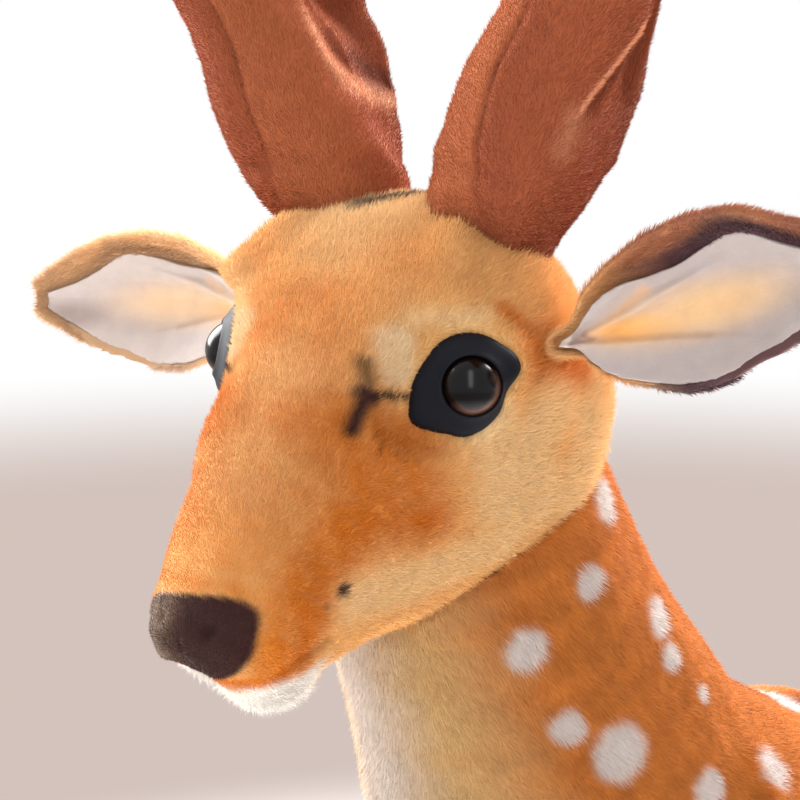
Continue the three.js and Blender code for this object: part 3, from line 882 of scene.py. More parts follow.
def comb_skin(skin: bpy.types.Object, grow: Points, length: Points | float, flow: Points) -> None:
    """Stores where pile grows on a skin, how long it is and which way it lies.

    Args:
        skin: The skin.
        grow: Share of the fibres that grow at each vertex.
        length: Their length in millimetres.
        flow: The direction that they are combed in, one for all or one for each vertex.
    """
    mesh = skin.data
    normal = outward(mesh)
    count = len(mesh.vertices)
    flow = np.broadcast_to(flow, (count, 3))
    across = np.sum(normal * flow, axis=1, keepdims=True)
    write_attribute(mesh, "grow", np.broadcast_to(grow, count).astype(float))
    write_attribute(mesh, "pile", np.broadcast_to(length, count) * MM)
    write_attribute(mesh, "comb", unit(flow - across * normal))


def ripples(points: Points, size: float, seed: int, count: int, spread: tuple[float, float]) -> Points:
    """Adds up waves that run in chance directions.

    Args:
        points: Points in millimetres.
        size: Length of the waves.
        seed: Seed of the chances.
        count: Number of waves.
        spread: The least and the most that a wave's length is multiplied by.

    Returns:
        The sum at each point, in which each wave goes from -1 to 1.
    """
    chance = np.random.default_rng(seed)
    total = np.zeros(len(points))
    for _ in range(count):
        heading = unit(chance.normal(size=3))
        length = size * chance.uniform(*spread)
        total += np.sin(points @ heading * 2 * math.pi / length + chance.uniform(0, 6.3))
    return total


def chance_field(points: Points, size: float, seed: int) -> Points:
    """Varies softly between 0 and 1 over space.

    Args:
        points: Points in millimetres.
        size: Size of the patches.
        seed: Seed of the chances.

    Returns:
        One share for each point.
    """
    waves = 6
    return np.clip(0.5 + ripples(points, size, seed, waves, (0.8, 2.2)) / waves, 0, 1)


def stuffed(skin: bpy.types.Object, size: float, height: float, seed: int) -> None:
    """Makes a skin slightly uneven, as stuffing leaves it.

    Args:
        skin: The skin.
        size: Size of the bumps in millimetres.
        height: Their height.
        seed: Seed of the chances.
    """
    points = places(skin.data)
    waves = 8
    lift = ripples(points, size, seed, waves, (0.7, 1.5)) * height / math.sqrt(waves)
    set_places(skin.data, points + outward(skin.data) * lift[:, None])


def pinch(skin: bpy.types.Object, distance: Points, width: float, depth: float) -> None:
    """Draws a seam into a skin.

    Args:
        skin: The skin.
        distance: Distance of each vertex from the seam.
        width: Half the seam's width in millimetres.
        depth: How deep it is drawn in.
    """
    points = places(skin.data)
    sunk = depth * np.exp(-((distance / width) ** 2))
    set_places(skin.data, points - outward(skin.data) * sunk[:, None])


@dataclass(frozen=True)
class Palette:
    """All finishes of the deer."""

    head: PlushFinish = PlushFinish(
        "head_plush", paint(232, 180, 116), paint(206, 118, 36), paint(234, 200, 150), dark=paint(48, 24, 32)
    )
    ear: PlushFinish = PlushFinish(
        "ear_plush", paint(232, 178, 116), paint(184, 120, 90), paint(246, 212, 168), dark=paint(80, 58, 70)
    )
    body: PlushFinish = PlushFinish(
        "body_plush", paint(205, 126, 58), paint(154, 84, 38), paint(210, 176, 122), white=paint(214, 206, 202),
        dark=paint(52, 30, 22),
    )
    # On the antler, rust is the colour of its painted lit side and pale its painted highlight.
    antler: PlushFinish = PlushFinish(
        "antler_plush", paint(158, 84, 54), paint(204, 124, 80), paint(232, 172, 132), dark=paint(70, 32, 22),
        sheen=0.08, speckle=0.36,
    )
    hoof: PlushFinish = PlushFinish(
        "hoof_plush", paint(60, 44, 36), paint(82, 56, 42), paint(110, 86, 70), nap=0.0003
    )
    velour: PlushFinish = PlushFinish(
        "ear_velour", paint(190, 178, 175), paint(246, 168, 56), paint(242, 200, 150), nap=0.0003,
        dark=paint(118, 84, 76),
    )
    lid: PlainFinish = PlainFinish("lid_plastic", paint(11, 12, 18), paint(18, 20, 30), 0.56, grain=4000, shine=0.14)
    nylon: PlainFinish = PlainFinish("washer_nylon", paint(222, 222, 214), paint(206, 206, 198), 0.4)
    steel: PlainFinish = PlainFinish("steel_wire", paint(142, 145, 150), paint(120, 122, 126), 0.35, 1.0)


PALETTE = Palette()


def split(heading: Points, *cuts: float) -> list[Band]:
    """Shares pile out over pieces.

    Args:
        heading: The direction in which it is shared out.
        *cuts: Where one piece ends and the next starts along it, in metres.

    Returns:
        The direction with the two distances of each piece.
    """
    ends = (-FAR, *cuts, FAR)
    return [(heading, low, high) for low, high in zip(ends, ends[1:])]


@dataclass(frozen=True)
class Coat:
    """What a skin has in common with its pile.

    Attributes:
        marker: What works out the marks.
        material: The material.
        slot: The record's slot; not used.
        join: What ties a piece to its moving part.
    """

    marker: Marker
    material: bpy.types.Material
    slot: str
    join: Callable[[bpy.types.Object], None]

    def dress(self, piece: bpy.types.Object, fibres: bool) -> None:
        """Marks and finishes a skin or its pile and joins it to the deer."""
        mark_piece(piece, self.marker, fibres)
        finish_piece(piece, self.material)
        self.join(piece)
        log.info("%s: %d faces", piece.name, len(piece.data.polygons))

    def grow(self, name: str, skin: bpy.types.Object, pile: Pile, seed: int, bands: Sequence[Band]) -> None:
        """Grows pile on a combed skin.

        Args:
            name: The pile's name.
            skin: The skin.
            pile: The pile.
            seed: Seed of the chances.
            bands: How it is shared out over pieces.
        """
        fibre = pile.fibre()
        for k, band in enumerate(bands):
            self.dress(pile.grow(f"{name}_pile_{k}", skin, fibre, seed, band), True)
        bpy.data.objects.remove(fibre)

    def cover(self, name: str, skin: bpy.types.Object, pile: Pile, bands: Sequence[Band]) -> None:
        """Grows pile on a combed skin and dresses the skin too.

        Args:
            name: The piece's name.
            skin: The skin.
            pile: The pile.
            bands: How the pile is shared out over pieces.
        """
        self.grow(name, skin, pile, FIRST_SEED + len(name), bands)
        for spare in COMBED:
            skin.data.attributes.remove(skin.data.attributes[spare])
        self.dress(skin, False)


@dataclass(frozen=True)
class Head:
    """The stuffed head: skull, muzzle, chin and cheeks, with its airbrushed face.

    Attributes:
        behind: Share of the length behind the middle.
        rows: Shares along the face: half width, towards the brow, towards the jaw, squareness.
        pushes: Where the form is pressed in or stuffed out, in the head's axes.
        jaw: Heights of the edge between cheek and throat, by place from nose to neck.
        mouth: The mouth's corners on one side: under the nose, then back to its end.
        flattened: How much each direction counts when a stroke is airbrushed from the side.
        pile: The head's pile.
    """

    behind: float = 0.343
    rows: tuple = (
        (0.000, 0.00, 0.20, -0.20, 2.1),
        (0.006, 0.27, 0.38, 0.14, 2.2),
        (0.025, 0.54, 0.62, 0.38, 2.4),
        (0.070, 0.80, 0.84, 0.66, 2.7),
        (0.130, 0.97, 0.98, 0.90, 3.0),
        (0.230, 1.06, 1.03, 1.07, 3.1),
        (0.340, 1.07, 1.02, 1.12, 3.0),
        (0.450, 1.01, 0.98, 1.05, 2.8),
        (0.560, 0.87, 0.91, 0.90, 2.6),
        (0.670, 0.72, 0.80, 0.74, 2.4),
        (0.780, 0.59, 0.69, 0.57, 2.35),
        (0.870, 0.51, 0.60, 0.44, 2.35),
        (0.940, 0.43, 0.515, 0.31, 2.35),
        (0.980, 0.32, 0.42, 0.15, 2.3),
        (0.994, 0.19, 0.31, 0.03, 2.2),
        (1.000, 0.00, 0.16, -0.16, 2.1),
    )
    pushes: tuple[Push, ...] = (
        Push((46, -30, 42), 13, 2.4),
        Push((-49, -25, 41), 15, 6.5, False),
        Push((-40, -15, 56), 15, 0.8, False),
        Push((38, -19, 55), 14, 4.0),
        Push((38, -47, 26), 11, -2.4),
        Push((-32, -51, 15), 17, -6.5, False),
        Push((34, -56, 6), 12, -1.2),
        Push((46, -30, -10), 18, 1.4),
        Push((30, -64, -34), 14, -1.0),
        Push((20, -86, -56), 12, 1.2),
        Push((0, -99, -54), 9, 1.2),
        Push((0, -96, -76), 10, -5.0, False),
        Push((-9, -87, -79), 14, -7.5, False),
        Push((-36, -58, -3), 15, -4.2, False),
        Push((-43, -49, -3), 9, -2.8, False),
        Push((-30, -70, -20), 13, -3.2, False),
        Push((-20, -97, -61), 7, -1.8, False),
        Push((20, -8, 66), 9, 2.5, False),
        Push((34, -14, 60), 8, 1.5, False),
        Push((10, -100, -53), 3.5, -2.0),
        Push((18, -56, -75), 15, -7.5),
        Push((22, -40, -69), 15, -4.5),
    )
    jaw: tuple = ((-101, -74), (-92, -77), (-84, -76), (-78, -75), (-66, -70.5), (-54, -68), (-30, -78), (20, -80))
    mouth: tuple = ((0, -102, -56), (2, -99, -67), (14, -93, -69), (26, -80, -65), (30, -68, -59.5))
    flattened: tuple = (0.4, 1.0, 1.0)
    pile: Pile = Pile(spacing=0.5, width=0.34, lean=0.55, stray=0.28, wave=0.34)

    def skin(self, eyes: Sequence[Eye]) -> bpy.types.Object:
        """Models the head's skin.

        Args:
            eyes: The eyes, which sit in hollows of it.

        Returns:
            The skin.
        """
        shape = bmesh.new()
        bmesh.ops.create_uvsphere(shape, u_segments=144, v_segments=124, radius=1)
        bmesh.ops.recalc_face_normals(shape, faces=shape.faces)
        skin = from_bmesh("head_skin", shape)
        ball = places(skin.data) * MM
        along = (1 + np.clip(ball[:, 2], -1, 1)) / 2
        width, top, bottom, power = through(self.rows, along).T
        angle = np.arctan2(ball[:, 1], ball[:, 0])
        reach = HEAD_DEPTH / 2
        half = (top + bottom) / 2 * reach
        c, s = np.cos(angle), np.sin(angle)
        lift = np.sign(s) * np.abs(s) ** (2 / power) * half + (top - bottom) / 2 * reach
        own = ((along - self.behind) * HEAD_LENGTH)[:, None] * FACE + lift[:, None] * BROW
        own[:, 0] = np.sign(c) * np.abs(c) ** (2 / power) * width * HEAD_WIDTH / 2
        set_places(skin.data, HEAD.out(own))
        own = HEAD.into(places(skin.data))
        raised = sum(push.at(own) for push in self.pushes)
        set_places(skin.data, HEAD.out(own) + outward(skin.data) * raised[:, None])
        stuffed(skin, 30, 0.5, 3)
        mouth = to_stroke(np.abs(HEAD.into(places(skin.data))) * (1, -1, -1), self.mouth)
        pinch(skin, mouth, 2.2, 1.6)
        for eye in eyes:
            set_places(skin.data, eye.hollow(places(skin.data)))
        return skin

    def marks(self, points: Points) -> dict[DyeAndPaintedLight, Points]:
        """Works out the face's airbrushing, with a painted highlight along the far contour and a painted shadow under
        the ear's root.

        Args:
            points: Places in the row frame.

        Returns:
            The share of each dye.
        """
        own = HEAD.into(points)
        x, y, z = own.T
        near = own.copy()
        near[:, 0] = np.abs(x)
        side = near[:, 0]
        front = soft(y, -74, 6)
        height = np.abs(z + 56 - 0.13 * x) / (12.2 + 1.8 * soft(z, -60, 4))
        nose = soft(((side / 23) ** 3 + height**3) ** (1 / 3), 1.0, 0.05) * front
        edge = through(self.jaw, np.clip(y, -101, 20))[:, 0]
        blot = chance_field(own, 7.0, 5)
        broad = chance_field(own, 22.0, 8)
        flat = near * self.flattened

        def stroke(*path: Sequence[float], width: float, blur: float, far: bool = False) -> Points:
            """Airbrushes a stroke on both sides, or on the one where it is set out."""
            return soft(to_stroke(own * self.flattened if far else flat, np.array(path) * self.flattened), width, blur)

        rust = np.max(
            [
                0.9 * stroke((33, -62, 2), (38, -56, -8), (41, -52, -16), width=14, blur=9),
                0.92 * stroke((31, -58, 8), (37, -54, 3), (43, -45, 0), width=8, blur=7),
                0.85 * soft(-y, -34, 16) * soft(side, 40, 14),
                0.97 * stroke((37, -59, -22), (42, -51, -23), (46, -43, -24), width=8, blur=8),
                0.92 * stroke((35, -62, -22), (31, -68, -29), (28, -75, -38), (26, -82, -48), width=11, blur=9),
                0.95 * stroke((28, -80, -50), (26, -84, -57), (24, -84, -64), width=11, blur=6),
                stroke((3, -98, -69), (13, -93, -70), (21, -88, -68), (27, -81, -62), width=4.5, blur=2.5),
                0.8 * stroke((26, -86, -46), (14, -93, -41), (0, -96, -41), width=4, blur=7),
                0.65 * stroke((6, -88, -34), (14, -80, -26), (20, -72, -16), width=9, blur=10),
                0.95 * stroke((53, -15, 37), (57, -10, 32), (59, -5, 25), width=2.2, blur=2.4),
                # Painted shadow: deeper rust under the ear's root.
                0.95 * stroke((57, -6, 23), (58.3, 6, 20), (58.5, 18, 15), width=8, blur=6),
                0.5 * stroke((12, -64, 6), (10, -80, -22), width=8, blur=10),
                0.48 * stroke((4, -40, 38), (14, -48, 26), (20, -55, 10), width=7, blur=10),
                0.22 * stroke((30, -26, 50), (12, -22, 56), width=8, blur=10),
            ],
            axis=0,
        )
        patch = stroke((34.3, -42.5, 28.5), (35, -44.5, 20), width=4.6, blur=2.2)
        pale = np.max(
            [
                1.3 * patch,
                0.95 * stroke((34, -42, 31), (38, -36, 35.5), (43, -30, 35.5), (52, -22, 36), width=2.6, blur=3),
                stroke((60, 7, 7), (59, -3, -1), (57, -11, -10), (56, 1, -25), width=11, blur=6),
                stroke((59, 22, 6), (58, 24, -12), (56, 18, -24), width=12, blur=8),
                stroke((53, -22, 2), (53, -20, -12), (51, -15, -24), width=9, blur=6),
                0.95 * stroke((57, 0, -20), (51, -10, -35), width=9, blur=6),
                0.95 * stroke((34, -60, -47), (38, -45, -46), (44, -28, -43), (50, -10, -38), width=8, blur=5),
                0.8 * soft(np.linalg.norm(own - (-8, -12, 66), axis=1), 24, 16),
                # Painted highlight along the far contour, where the pile is lit from behind.
                0.85 * stroke((-46, -28, 42), (-32, -50, 18), (-26, -76, -28), width=3, blur=7, far=True),
                0.35 * stroke((4, -56, 20), (2, -76, -14), width=5, blur=9),
            ],
            axis=0,
        )
        under = soft(z, edge + 6, 2.5) * soft(np.abs(y + 80), 12, 4)
        pale = np.maximum(pale, 0.9 * soft(z, edge, 3))
        white = np.maximum(under, 0.16 * patch)
        taupe = soft(x, -6, 9) * nose
        tear = np.max(
            [
                stroke((40, -41, 12.3), (34.4, -46, 12.5), (32.8, -52, 13.3), width=1.1, blur=1.0),
                0.75 * stroke((28.2, -50.4, 23), (32.8, -53, 14.4), width=1.4, blur=1.7),
                stroke((32.8, -53, 14.4), (31, -55.5, 9.7), (30, -59, 3), width=1.6, blur=1.5),
                stroke((31.6, -54, 14), (32.8, -52.6, 12.6), width=2.4, blur=1.6),
            ],
            axis=0,
        )
        dots = np.maximum(
            soft(np.linalg.norm(near - (32.6, -65.7, -43.7), axis=1), 2.2, 0.9),
            0.5 * soft(np.linalg.norm(near - (30.6, -71, -47.8), axis=1), 1.2, 0.8),
        )
        crown = soft(to_stroke(own, ((-10, -8, 65), (-3, 0, 67), (5, 5, 68))), 4.5, 3.5)
        streaks = chance_field(own * (2.2, 0.6, 0.5), 5.0, 12)
        dark = np.max(
            [
                nose * (0.97 - taupe * (0.1 + 0.16 * streaks)),
                0.96 * tear,
                0.92 * dots,
                0.85 * crown,
                0.2 * stroke(*self.mouth[3:], width=1.0, blur=1.5),
            ],
            axis=0,
        )
        pale = pale * (1 - 0.85 * rust) * (0.85 + 0.2 * broad)
        return {
            DyeAndPaintedLight.RUST: np.clip(rust * (0.82 + 0.28 * blot) + 0.1 * (broad - 0.5), 0, 1),
            DyeAndPaintedLight.PALE: pale,
            DyeAndPaintedLight.WHITE: np.maximum(white * (1 - nose), 0.45 * taupe),
            DyeAndPaintedLight.DARK: dark,
        }

    def build(self, eyes: Sequence[Eye]) -> None:
        """Builds the head's skin and pile.

        Args:
            eyes: The eyes, which stay free of pile.
        """
        skin = self.skin(eyes)
        points = places(skin.data)
        own = HEAD.into(points)
        side, y, z = np.abs(own[:, 0]), own[:, 1], own[:, 2]
        grow, length = np.ones(len(points)), np.full(len(points), 2.8)
        length -= 0.7 * soft(y, -58, 14) + 1.3 * soft(y, -84, 9)
        length += 2.4 * soft(z, -74, 3) * soft(np.abs(y + 74), 12, 5)
        length += 1.0 * soft(-side, -48, 10) * soft(-y, 10, 14)
        near = np.column_stack([side, y, z])
        length += 1.4 * soft(np.linalg.norm(near - (59, 9, 24), axis=1), 9, 6)
        length += 1.2 * soft(to_stroke(own, ((14, -4, 67), (22, -10, 65), (34, -14, 61))), 5, 4)
        flow = -(HEAD.turn @ FACE) + np.array([0, 0, -0.35]) * soft(z, 0, 40)[:, None]
        for eye in eyes:
            away = eye.away(points)
            length -= (length - 1.9) * soft(away, 1.2, 0.25)
            grow *= away > 0.98
            inward = unit(eye.mount.out(np.zeros((1, 3))) - points)
            flow = flow + inward * 1.8 * soft(away, 1.08, 0.1)[:, None]
        comb_skin(skin, grow, np.maximum(length, 0.9), flow)
        across = HEAD.turn @ SIDEWAYS
        middle = float(HEAD.place @ across) * MM
        coat = Coat(self.marks, PALETTE.head.make(), "head_plush", lambda piece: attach(piece, "head"))
        coat.cover("head", skin, self.pile, split(across, middle, middle + 0.04))
        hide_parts("head")


@dataclass(frozen=True)
class Eye:
    """A moulded lid with a glossy domed eye in it.

    Attributes:
        side: 1 on the left and -1 on the right.
        outline: Shares of the lid's width and height, all the way round.
        width: Width of the lid in millimetres.
        height: Height of the lid.
        rings: Shares from the outline to the opening, with the height over the lid's back.
        opening: Radius of the opening.
        radius: Radius of the eyeball.
        spot: Its middle, in shares of the head's length, depth and width.
        turn: Degrees that it looks back from straight to the side.
        rise: Degrees that it looks up.
    """

    side: int
    outline: tuple = (
        (-0.535, -0.120), (-0.494, 0.070), (-0.400, 0.245), (-0.275, 0.410), (-0.110, 0.500),
        (0.083, 0.500), (0.263, 0.406), (0.425, 0.245), (0.440, 0.185), (0.345, 0.000),
        (0.230, -0.280), (0.070, -0.430), (-0.070, -0.480), (-0.226, -0.445), (-0.380, -0.410),
        (-0.517, -0.340),
    )
    width: float = 35.0
    height: float = 32.0
    rings: tuple = (
        (0.00, -1.5), (0.00, 0.8), (0.015, 1.5), (0.06, 2.2), (0.20, 3.1), (0.45, 4.0), (0.68, 4.7),
        (0.84, 5.5), (0.92, 5.9), (0.97, 5.9), (1.00, 5.4), (1.02, 4.2), (1.03, 2.5),
    )
    opening: float = 9.1
    radius: float = 10.0
    spot: tuple[float, float, float] = (0.058, 0.263, 0.45)
    turn: float = -46.0
    rise: float = 12.0

    @property
    def mount(self) -> Mount:
        """The eye's mount: x to its outer corner, y up and z out of the head."""
        ahead = pointing(self.turn, self.rise)
        back = unit(np.cross(UP, ahead))
        return Mount(self.spot, np.column_stack([back, np.cross(ahead, back), ahead]), self.side)

    def rim(self, angle: Points) -> Points:
        """Finds the lid's outline by the direction from the middle.

        Args:
            angle: Angles round the eye.

        Returns:
            The distance of the outline in each direction.
        """
        corners = np.array(self.outline) * (self.width, self.height)
        turn = np.arctan2(corners[:, 1], corners[:, 0])
        order = np.argsort(turn)
        turn, reach = turn[order], np.linalg.norm(corners, axis=1)[order]
        turn = np.concatenate([turn[-3:] - 2 * math.pi, turn, turn[:3] + 2 * math.pi])
        reach = np.concatenate([reach[-3:], reach, reach[:3]])
        return through(np.column_stack([turn, reach]), angle)[:, 0]

    def away(self, points: Points) -> Points:
        """Measures places from the eye's middle, 1 being the lid's outline.

        Args:
            points: Places in the row frame.

        Returns:
            Shares of the outline's own distance, large behind the eye.
        """
        own = self.mount.into(points)
        share = np.hypot(own[:, 0], own[:, 1]) / self.rim(np.arctan2(own[:, 1], own[:, 0]))
        return np.where(own[:, 2] > -16, share, 9.0)

    def hollow(self, points: Points) -> Points:
        """Presses the head's skin to the back of the lid.

        Args:
            points: The skin's places in the row frame.

        Returns:
            The pressed places.
        """
        own = self.mount.into(points)
        share = self.away(points)
        wanted = np.clip(own[:, 2], -0.6, 0.4) + 1.3 * soft(-share, -1.04, 0.06)
        fall = soft(share - 0.3 * soft(own[:, 0], -4, 6) * (share > 1), 1.26, 0.25)
        own[:, 2] += (wanted - own[:, 2]) * fall
        return np.where((share < 1.6)[:, None], self.mount.out(own), points)

    def lid(self) -> bpy.types.Object:
        """Models the lid as rings from its outline to its raised lip.

        Returns:
            The lid.
        """
        shape = bmesh.new()
        rows = len(self.rings) - 1
        bmesh.ops.create_grid(shape, x_segments=96, y_segments=rows, size=0.5)
        lid = from_bmesh(f"lid_{named(self.side)}", shape)
        flat = places(lid.data) * MM + 0.5
        angle = (flat[:, 0] - 0.5) * 2 * math.pi
        inward, height = np.array(self.rings)[np.rint(flat[:, 1] * rows).astype(int)].T
        reach = self.rim(angle) * (1 - inward) + self.opening * inward
        own = np.column_stack([np.cos(angle) * reach, np.sin(angle) * reach, height])
        set_places(lid.data, self.mount.out(own))
        return closed_up(lid)

    def ball(self) -> bpy.types.Object:
        """Models the eyeball.

        Returns:
            The eyeball.
        """
        shape = bmesh.new()
        bmesh.ops.create_uvsphere(shape, u_segments=64, v_segments=48, radius=self.radius * MM)
        ball = from_bmesh(f"eye_{named(self.side)}", shape)
        set_places(ball.data, self.mount.out(places(ball.data)))
        return closed_up(ball)

    def iris(self) -> bpy.types.Material:
        """Makes the painted eye under its clear gloss: pupil, fibrous brown iris and dark rim, with painted light
        towards its bottom and outer corner.

        Returns:
            The material, laid out round this eye's own axis.
        """
        material, board = blank_material(f"eye_plastic_{named(self.side)}")
        where = board.add("ShaderNodeTexCoord", out="Object")
        middle = tuple(self.mount.out(np.zeros((1, 3)))[0] * MM)
        away = board.add("ShaderNodeVectorMath", {"operation": "SUBTRACT"}, where, middle)

        def reach(own: Sequence[float]) -> Wire:
            """Measures along one of the eye's directions, as a share of the radius."""
            heading = tuple(self.mount.heading(np.array(own, float)) / (self.radius * MM))
            return board.add("ShaderNodeVectorMath", {"operation": "DOT_PRODUCT"}, away, heading, out="Value")

        out, up, back = reach((0, 0, 1)), reach((0, 1, 0)), reach((1, 0, 0))
        fibres = board.noise(1500, 3, roughness=0.7)
        ring = out + (fibres - 0.5) * 0.08
        stops = (
            (0.0, paint(18, 18, 26)),
            (0.34, paint(22, 20, 28)),
            (0.46, paint(88, 60, 48)),
            (0.62, paint(100, 70, 56)),
            (0.74, paint(52, 36, 34)),
            (0.80, paint(12, 11, 13)),
            (1.0, paint(8, 8, 11)),
        )
        colour = board.add("ShaderNodeValToRGB", {"stops": stops}, ring)
        # Painted light: brighter towards the bottom and the outer corner, as light gathered under a clear dome would
        # show it.
        painted_light = (up * -0.95 + back * 0.75) + 0.12
        painted_light = board.add("ShaderNodeClamp", None, painted_light, 0.05, 1.0)
        colour = board.shaded(colour, painted_light)
        shader = board.add(
            "ShaderNodeBsdfPrincipled",
            None,
            colour,
            Roughness=0.5,
            Specular_IOR_Level=0.0,
            Coat_Weight=1.0,
            Coat_IOR=1.32,
            Coat_Roughness=0.2,
            Normal=board.add("ShaderNodeBump", None, 0.35, 0.0001, Height=fibres),
        )
        board.add("ShaderNodeOutputMaterial", None, shader)
        return material

    def build(self, lid_finish: bpy.types.Material) -> None:
        """Builds the lid and the eyeball.

        Args:
            lid_finish: The lid's material.
        """
        lid, ball = self.lid(), self.ball()
        finish_piece(lid, lid_finish)
        finish_piece(ball, self.iris())
        for piece, node in ((lid, "eyelid"), (ball, "eyeball")):
            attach(piece, "head")
            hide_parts(f"{node}_{named(self.side)}")


@dataclass(frozen=True)
class Ear:
    """A cupped ear: a plush back with a dark rim, and a pale velour lining with folds at its root.

    Attributes:
        side: 1 on the left and -1 on the right.
        sweep: Degrees that it points back.
        rise: Degrees that it points up.
        length: Length of the leaf in millimetres.
        width: Its width.
        cup: Depth of its hollow.
        leaf: Shares along the ear: half width and hollow.
        rim: Shares of the upper and lower half width at which the rim ends, by millimetres along the ear.
        lining: Shares of the half width that the lining was cut to, by millimetres along the ear.
        unlit_share: How much of the dyed rust, rim and tip is kept; below 1 the ear is painted paler instead, as if
            lit from behind.
        spot: Its root, in shares of the head's length, depth and width.
        pile: The ear's pile.
    """

    side: int
    sweep: float
    rise: float
    length: float = 112.0
    width: float = 54.0
    cup: float = 15.0
    leaf: tuple = (
        (0.05, 0.28, 0.06), (0.12, 0.46, 0.24), (0.22, 0.70, 0.58), (0.36, 0.94, 0.92), (0.50, 1.00, 0.96),
        (0.64, 0.92, 0.78), (0.78, 0.70, 0.50), (0.90, 0.42, 0.26), (0.97, 0.22, 0.12),
    )
    rim: tuple = (
        (4, 0.12, 0.12), (9, 0.30, 0.36), (12, 0.45, 0.66), (16, 0.60, 0.84), (26, 0.66, 0.92), (34, 0.57, 0.92),
        (42, 0.54, 0.91), (54, 0.62, 0.92), (64, 0.71, 0.92), (72, 0.68, 0.89), (80, 0.54, 0.83), (90, 0.38, 0.70),
        (104, 0.25, 0.50),
    )
    lining: tuple = ((5, 0.91), (20, 0.90), (40, 0.88), (60, 0.85), (80, 0.79), (100, 0.65))
    unlit_share: float = 1.0
    spot: tuple[float, float, float] = (-0.088, 0.17, 0.54)
    pile: Pile = Pile(spacing=0.5, width=0.36, lean=0.6, stray=0.16, wave=0.22)

    @property
    def mount(self) -> Mount:
        """The ear's mount: x out to its tip, y to the back of its leaf, z across."""
        out = pointing(self.sweep, self.rise)
        hinge = unit(UP - out * out[2])
        return Mount(self.spot, np.column_stack([out, np.cross(hinge, out), hinge]), self.side)

    def measured(self, points: Points) -> tuple[Points, Points, Points, Points]:
        """Lays places out on the leaf.

        Args:
            points: Places in the row frame.

        Returns:
            Millimetres along it, across it, the share of its half width, and the depth behind its front.
        """
        along, back, across = self.mount.into(points).T
        width, cup = through(self.leaf, np.clip(along / self.length, 0.05, 0.97)).T
        share = np.abs(across) / np.maximum(width * self.width / 2, 1)
        depth = back - self.cup * cup * (1 - np.minimum(share, 1) ** 2)
        return along, across, share, depth

    def bowl(self, along: Points) -> Points:
        """Reads the hollow of the leaf, as a share of its deepest."""
        return through(self.leaf, np.clip(along / self.length, 0.05, 0.97))[:, 1]

    def fur_marks(self, points: Points) -> dict[DyeAndPaintedLight, Points]:
        """Works out the dark rim and tip of the plush, a painted highlight along its lower edge and, on the far ear,
        paler colour painted as light from behind.

        Args:
            points: Places in the row frame.

        Returns:
            The share of each dye.
        """
        along, across, share, depth = self.measured(points)
        edge = self.lined(along, across)
        tip = soft(-along, -90, 20)
        inner = soft(share, edge + 0.16, 0.1) * soft(depth, 3.0, 1.6) * soft(-along, -30, 12)
        low = soft(across, -4, 4) * soft(share, edge + 0.03, 0.04) * soft(depth, 3.5, 1.6) * soft(-along, -36, 14)
        brown = soft(-along, -26, 14) * soft(-across, 2, 4)
        brown = np.maximum(brown, 0.7 * soft(across, -8, 4) * soft(-along, -34, 14))
        brown = 0.15 + 0.8 * brown * (0.8 + 0.3 * chance_field(points, 9.0, 4))
        return {
            # Painted light: on the far ear the rust, dark rim and tip are weakened and paleness is added, as light
            # from behind shows it.
            DyeAndPaintedLight.RUST: brown * self.unlit_share * soft(-along, -8, 6),
            DyeAndPaintedLight.PALE: 0.15 * soft(along, 16, 12) + 0.9 * (1 - self.unlit_share),
            # Painted highlight: white along the lower edge, where the pile catches the light from behind.
            DyeAndPaintedLight.WHITE: 0.5 * soft(across, -19, 5) * soft(-share, -0.9, 0.1),
            DyeAndPaintedLight.DARK: np.max([0.9 * inner, 0.7 * low, 0.62 * tip], axis=0) * self.unlit_share,
        }

    def lined(self, along: Points, across: Points) -> Points:
        """Finds where the plush rim ends and the lining starts.

        Args:
            along: Millimetres along the ear.
            across: Millimetres across it.

        Returns:
            The share of the half width, smaller on the upper side, where the rim rolls over the lining.
        """
        upper, lower = through(self.rim, np.clip(along, 4, 104)).T
        return upper + (lower - upper) * soft(across, 0, 1.5)

    def lining_marks(self, points: Points) -> dict[DyeAndPaintedLight, Points]:
        """Works out the warm glow of the lining, with painted shade in its creases and darker colour along its edge.

        Args:
            points: Places in the row frame.

        Returns:
            The share of each dye.
        """
        along, across, share, _ = self.measured(points)
        flat = np.column_stack([along, across, 0 * along])
        glow = soft(np.hypot((along - 27) / 17, (across + 1.8 + 0.12 * (along - 27)) / 5), 0.7, 0.5)
        second = 0.6 * soft(to_stroke(flat, ((16, 0.6, 0), (24, 4.4, 0), (32, 8.5, 0))), 1.0, 3.0)
        peach = 0.95 * soft(np.hypot((along - 48) / 38, (across + 1.5) / 11), 0.65, 0.5)
        # Painted shade in the creases where the lining is folded.
        crease = 0.6 * soft(to_stroke(flat, ((8, -1, 0), (14, -1.4, 0), (12, 0.5, 0))), 0.8, 1.4)
        crease = np.maximum(crease, 0.25 * soft(to_stroke(flat, ((12, -1.6, 0), (48, -10, 0))), 0.5, 1.2))
        brown = 0.4 * soft(np.hypot((along - 92) / 20, (across + 6) / 7), 0.6, 0.5)
        edge = 0.3 * soft(-share, -self.lined(along, across) + 0.02, 0.06)
        return {
            DyeAndPaintedLight.RUST: np.maximum(glow, second),
            DyeAndPaintedLight.PALE: peach,
            # Painted glow: the far ear's lining is whitened, as if lit through from behind.
            DyeAndPaintedLight.WHITE: np.maximum(0.4 * (1 - self.unlit_share), soft(along, 7.2, 1.0)),
            DyeAndPaintedLight.DARK: np.max([crease, brown, edge], axis=0),
        }

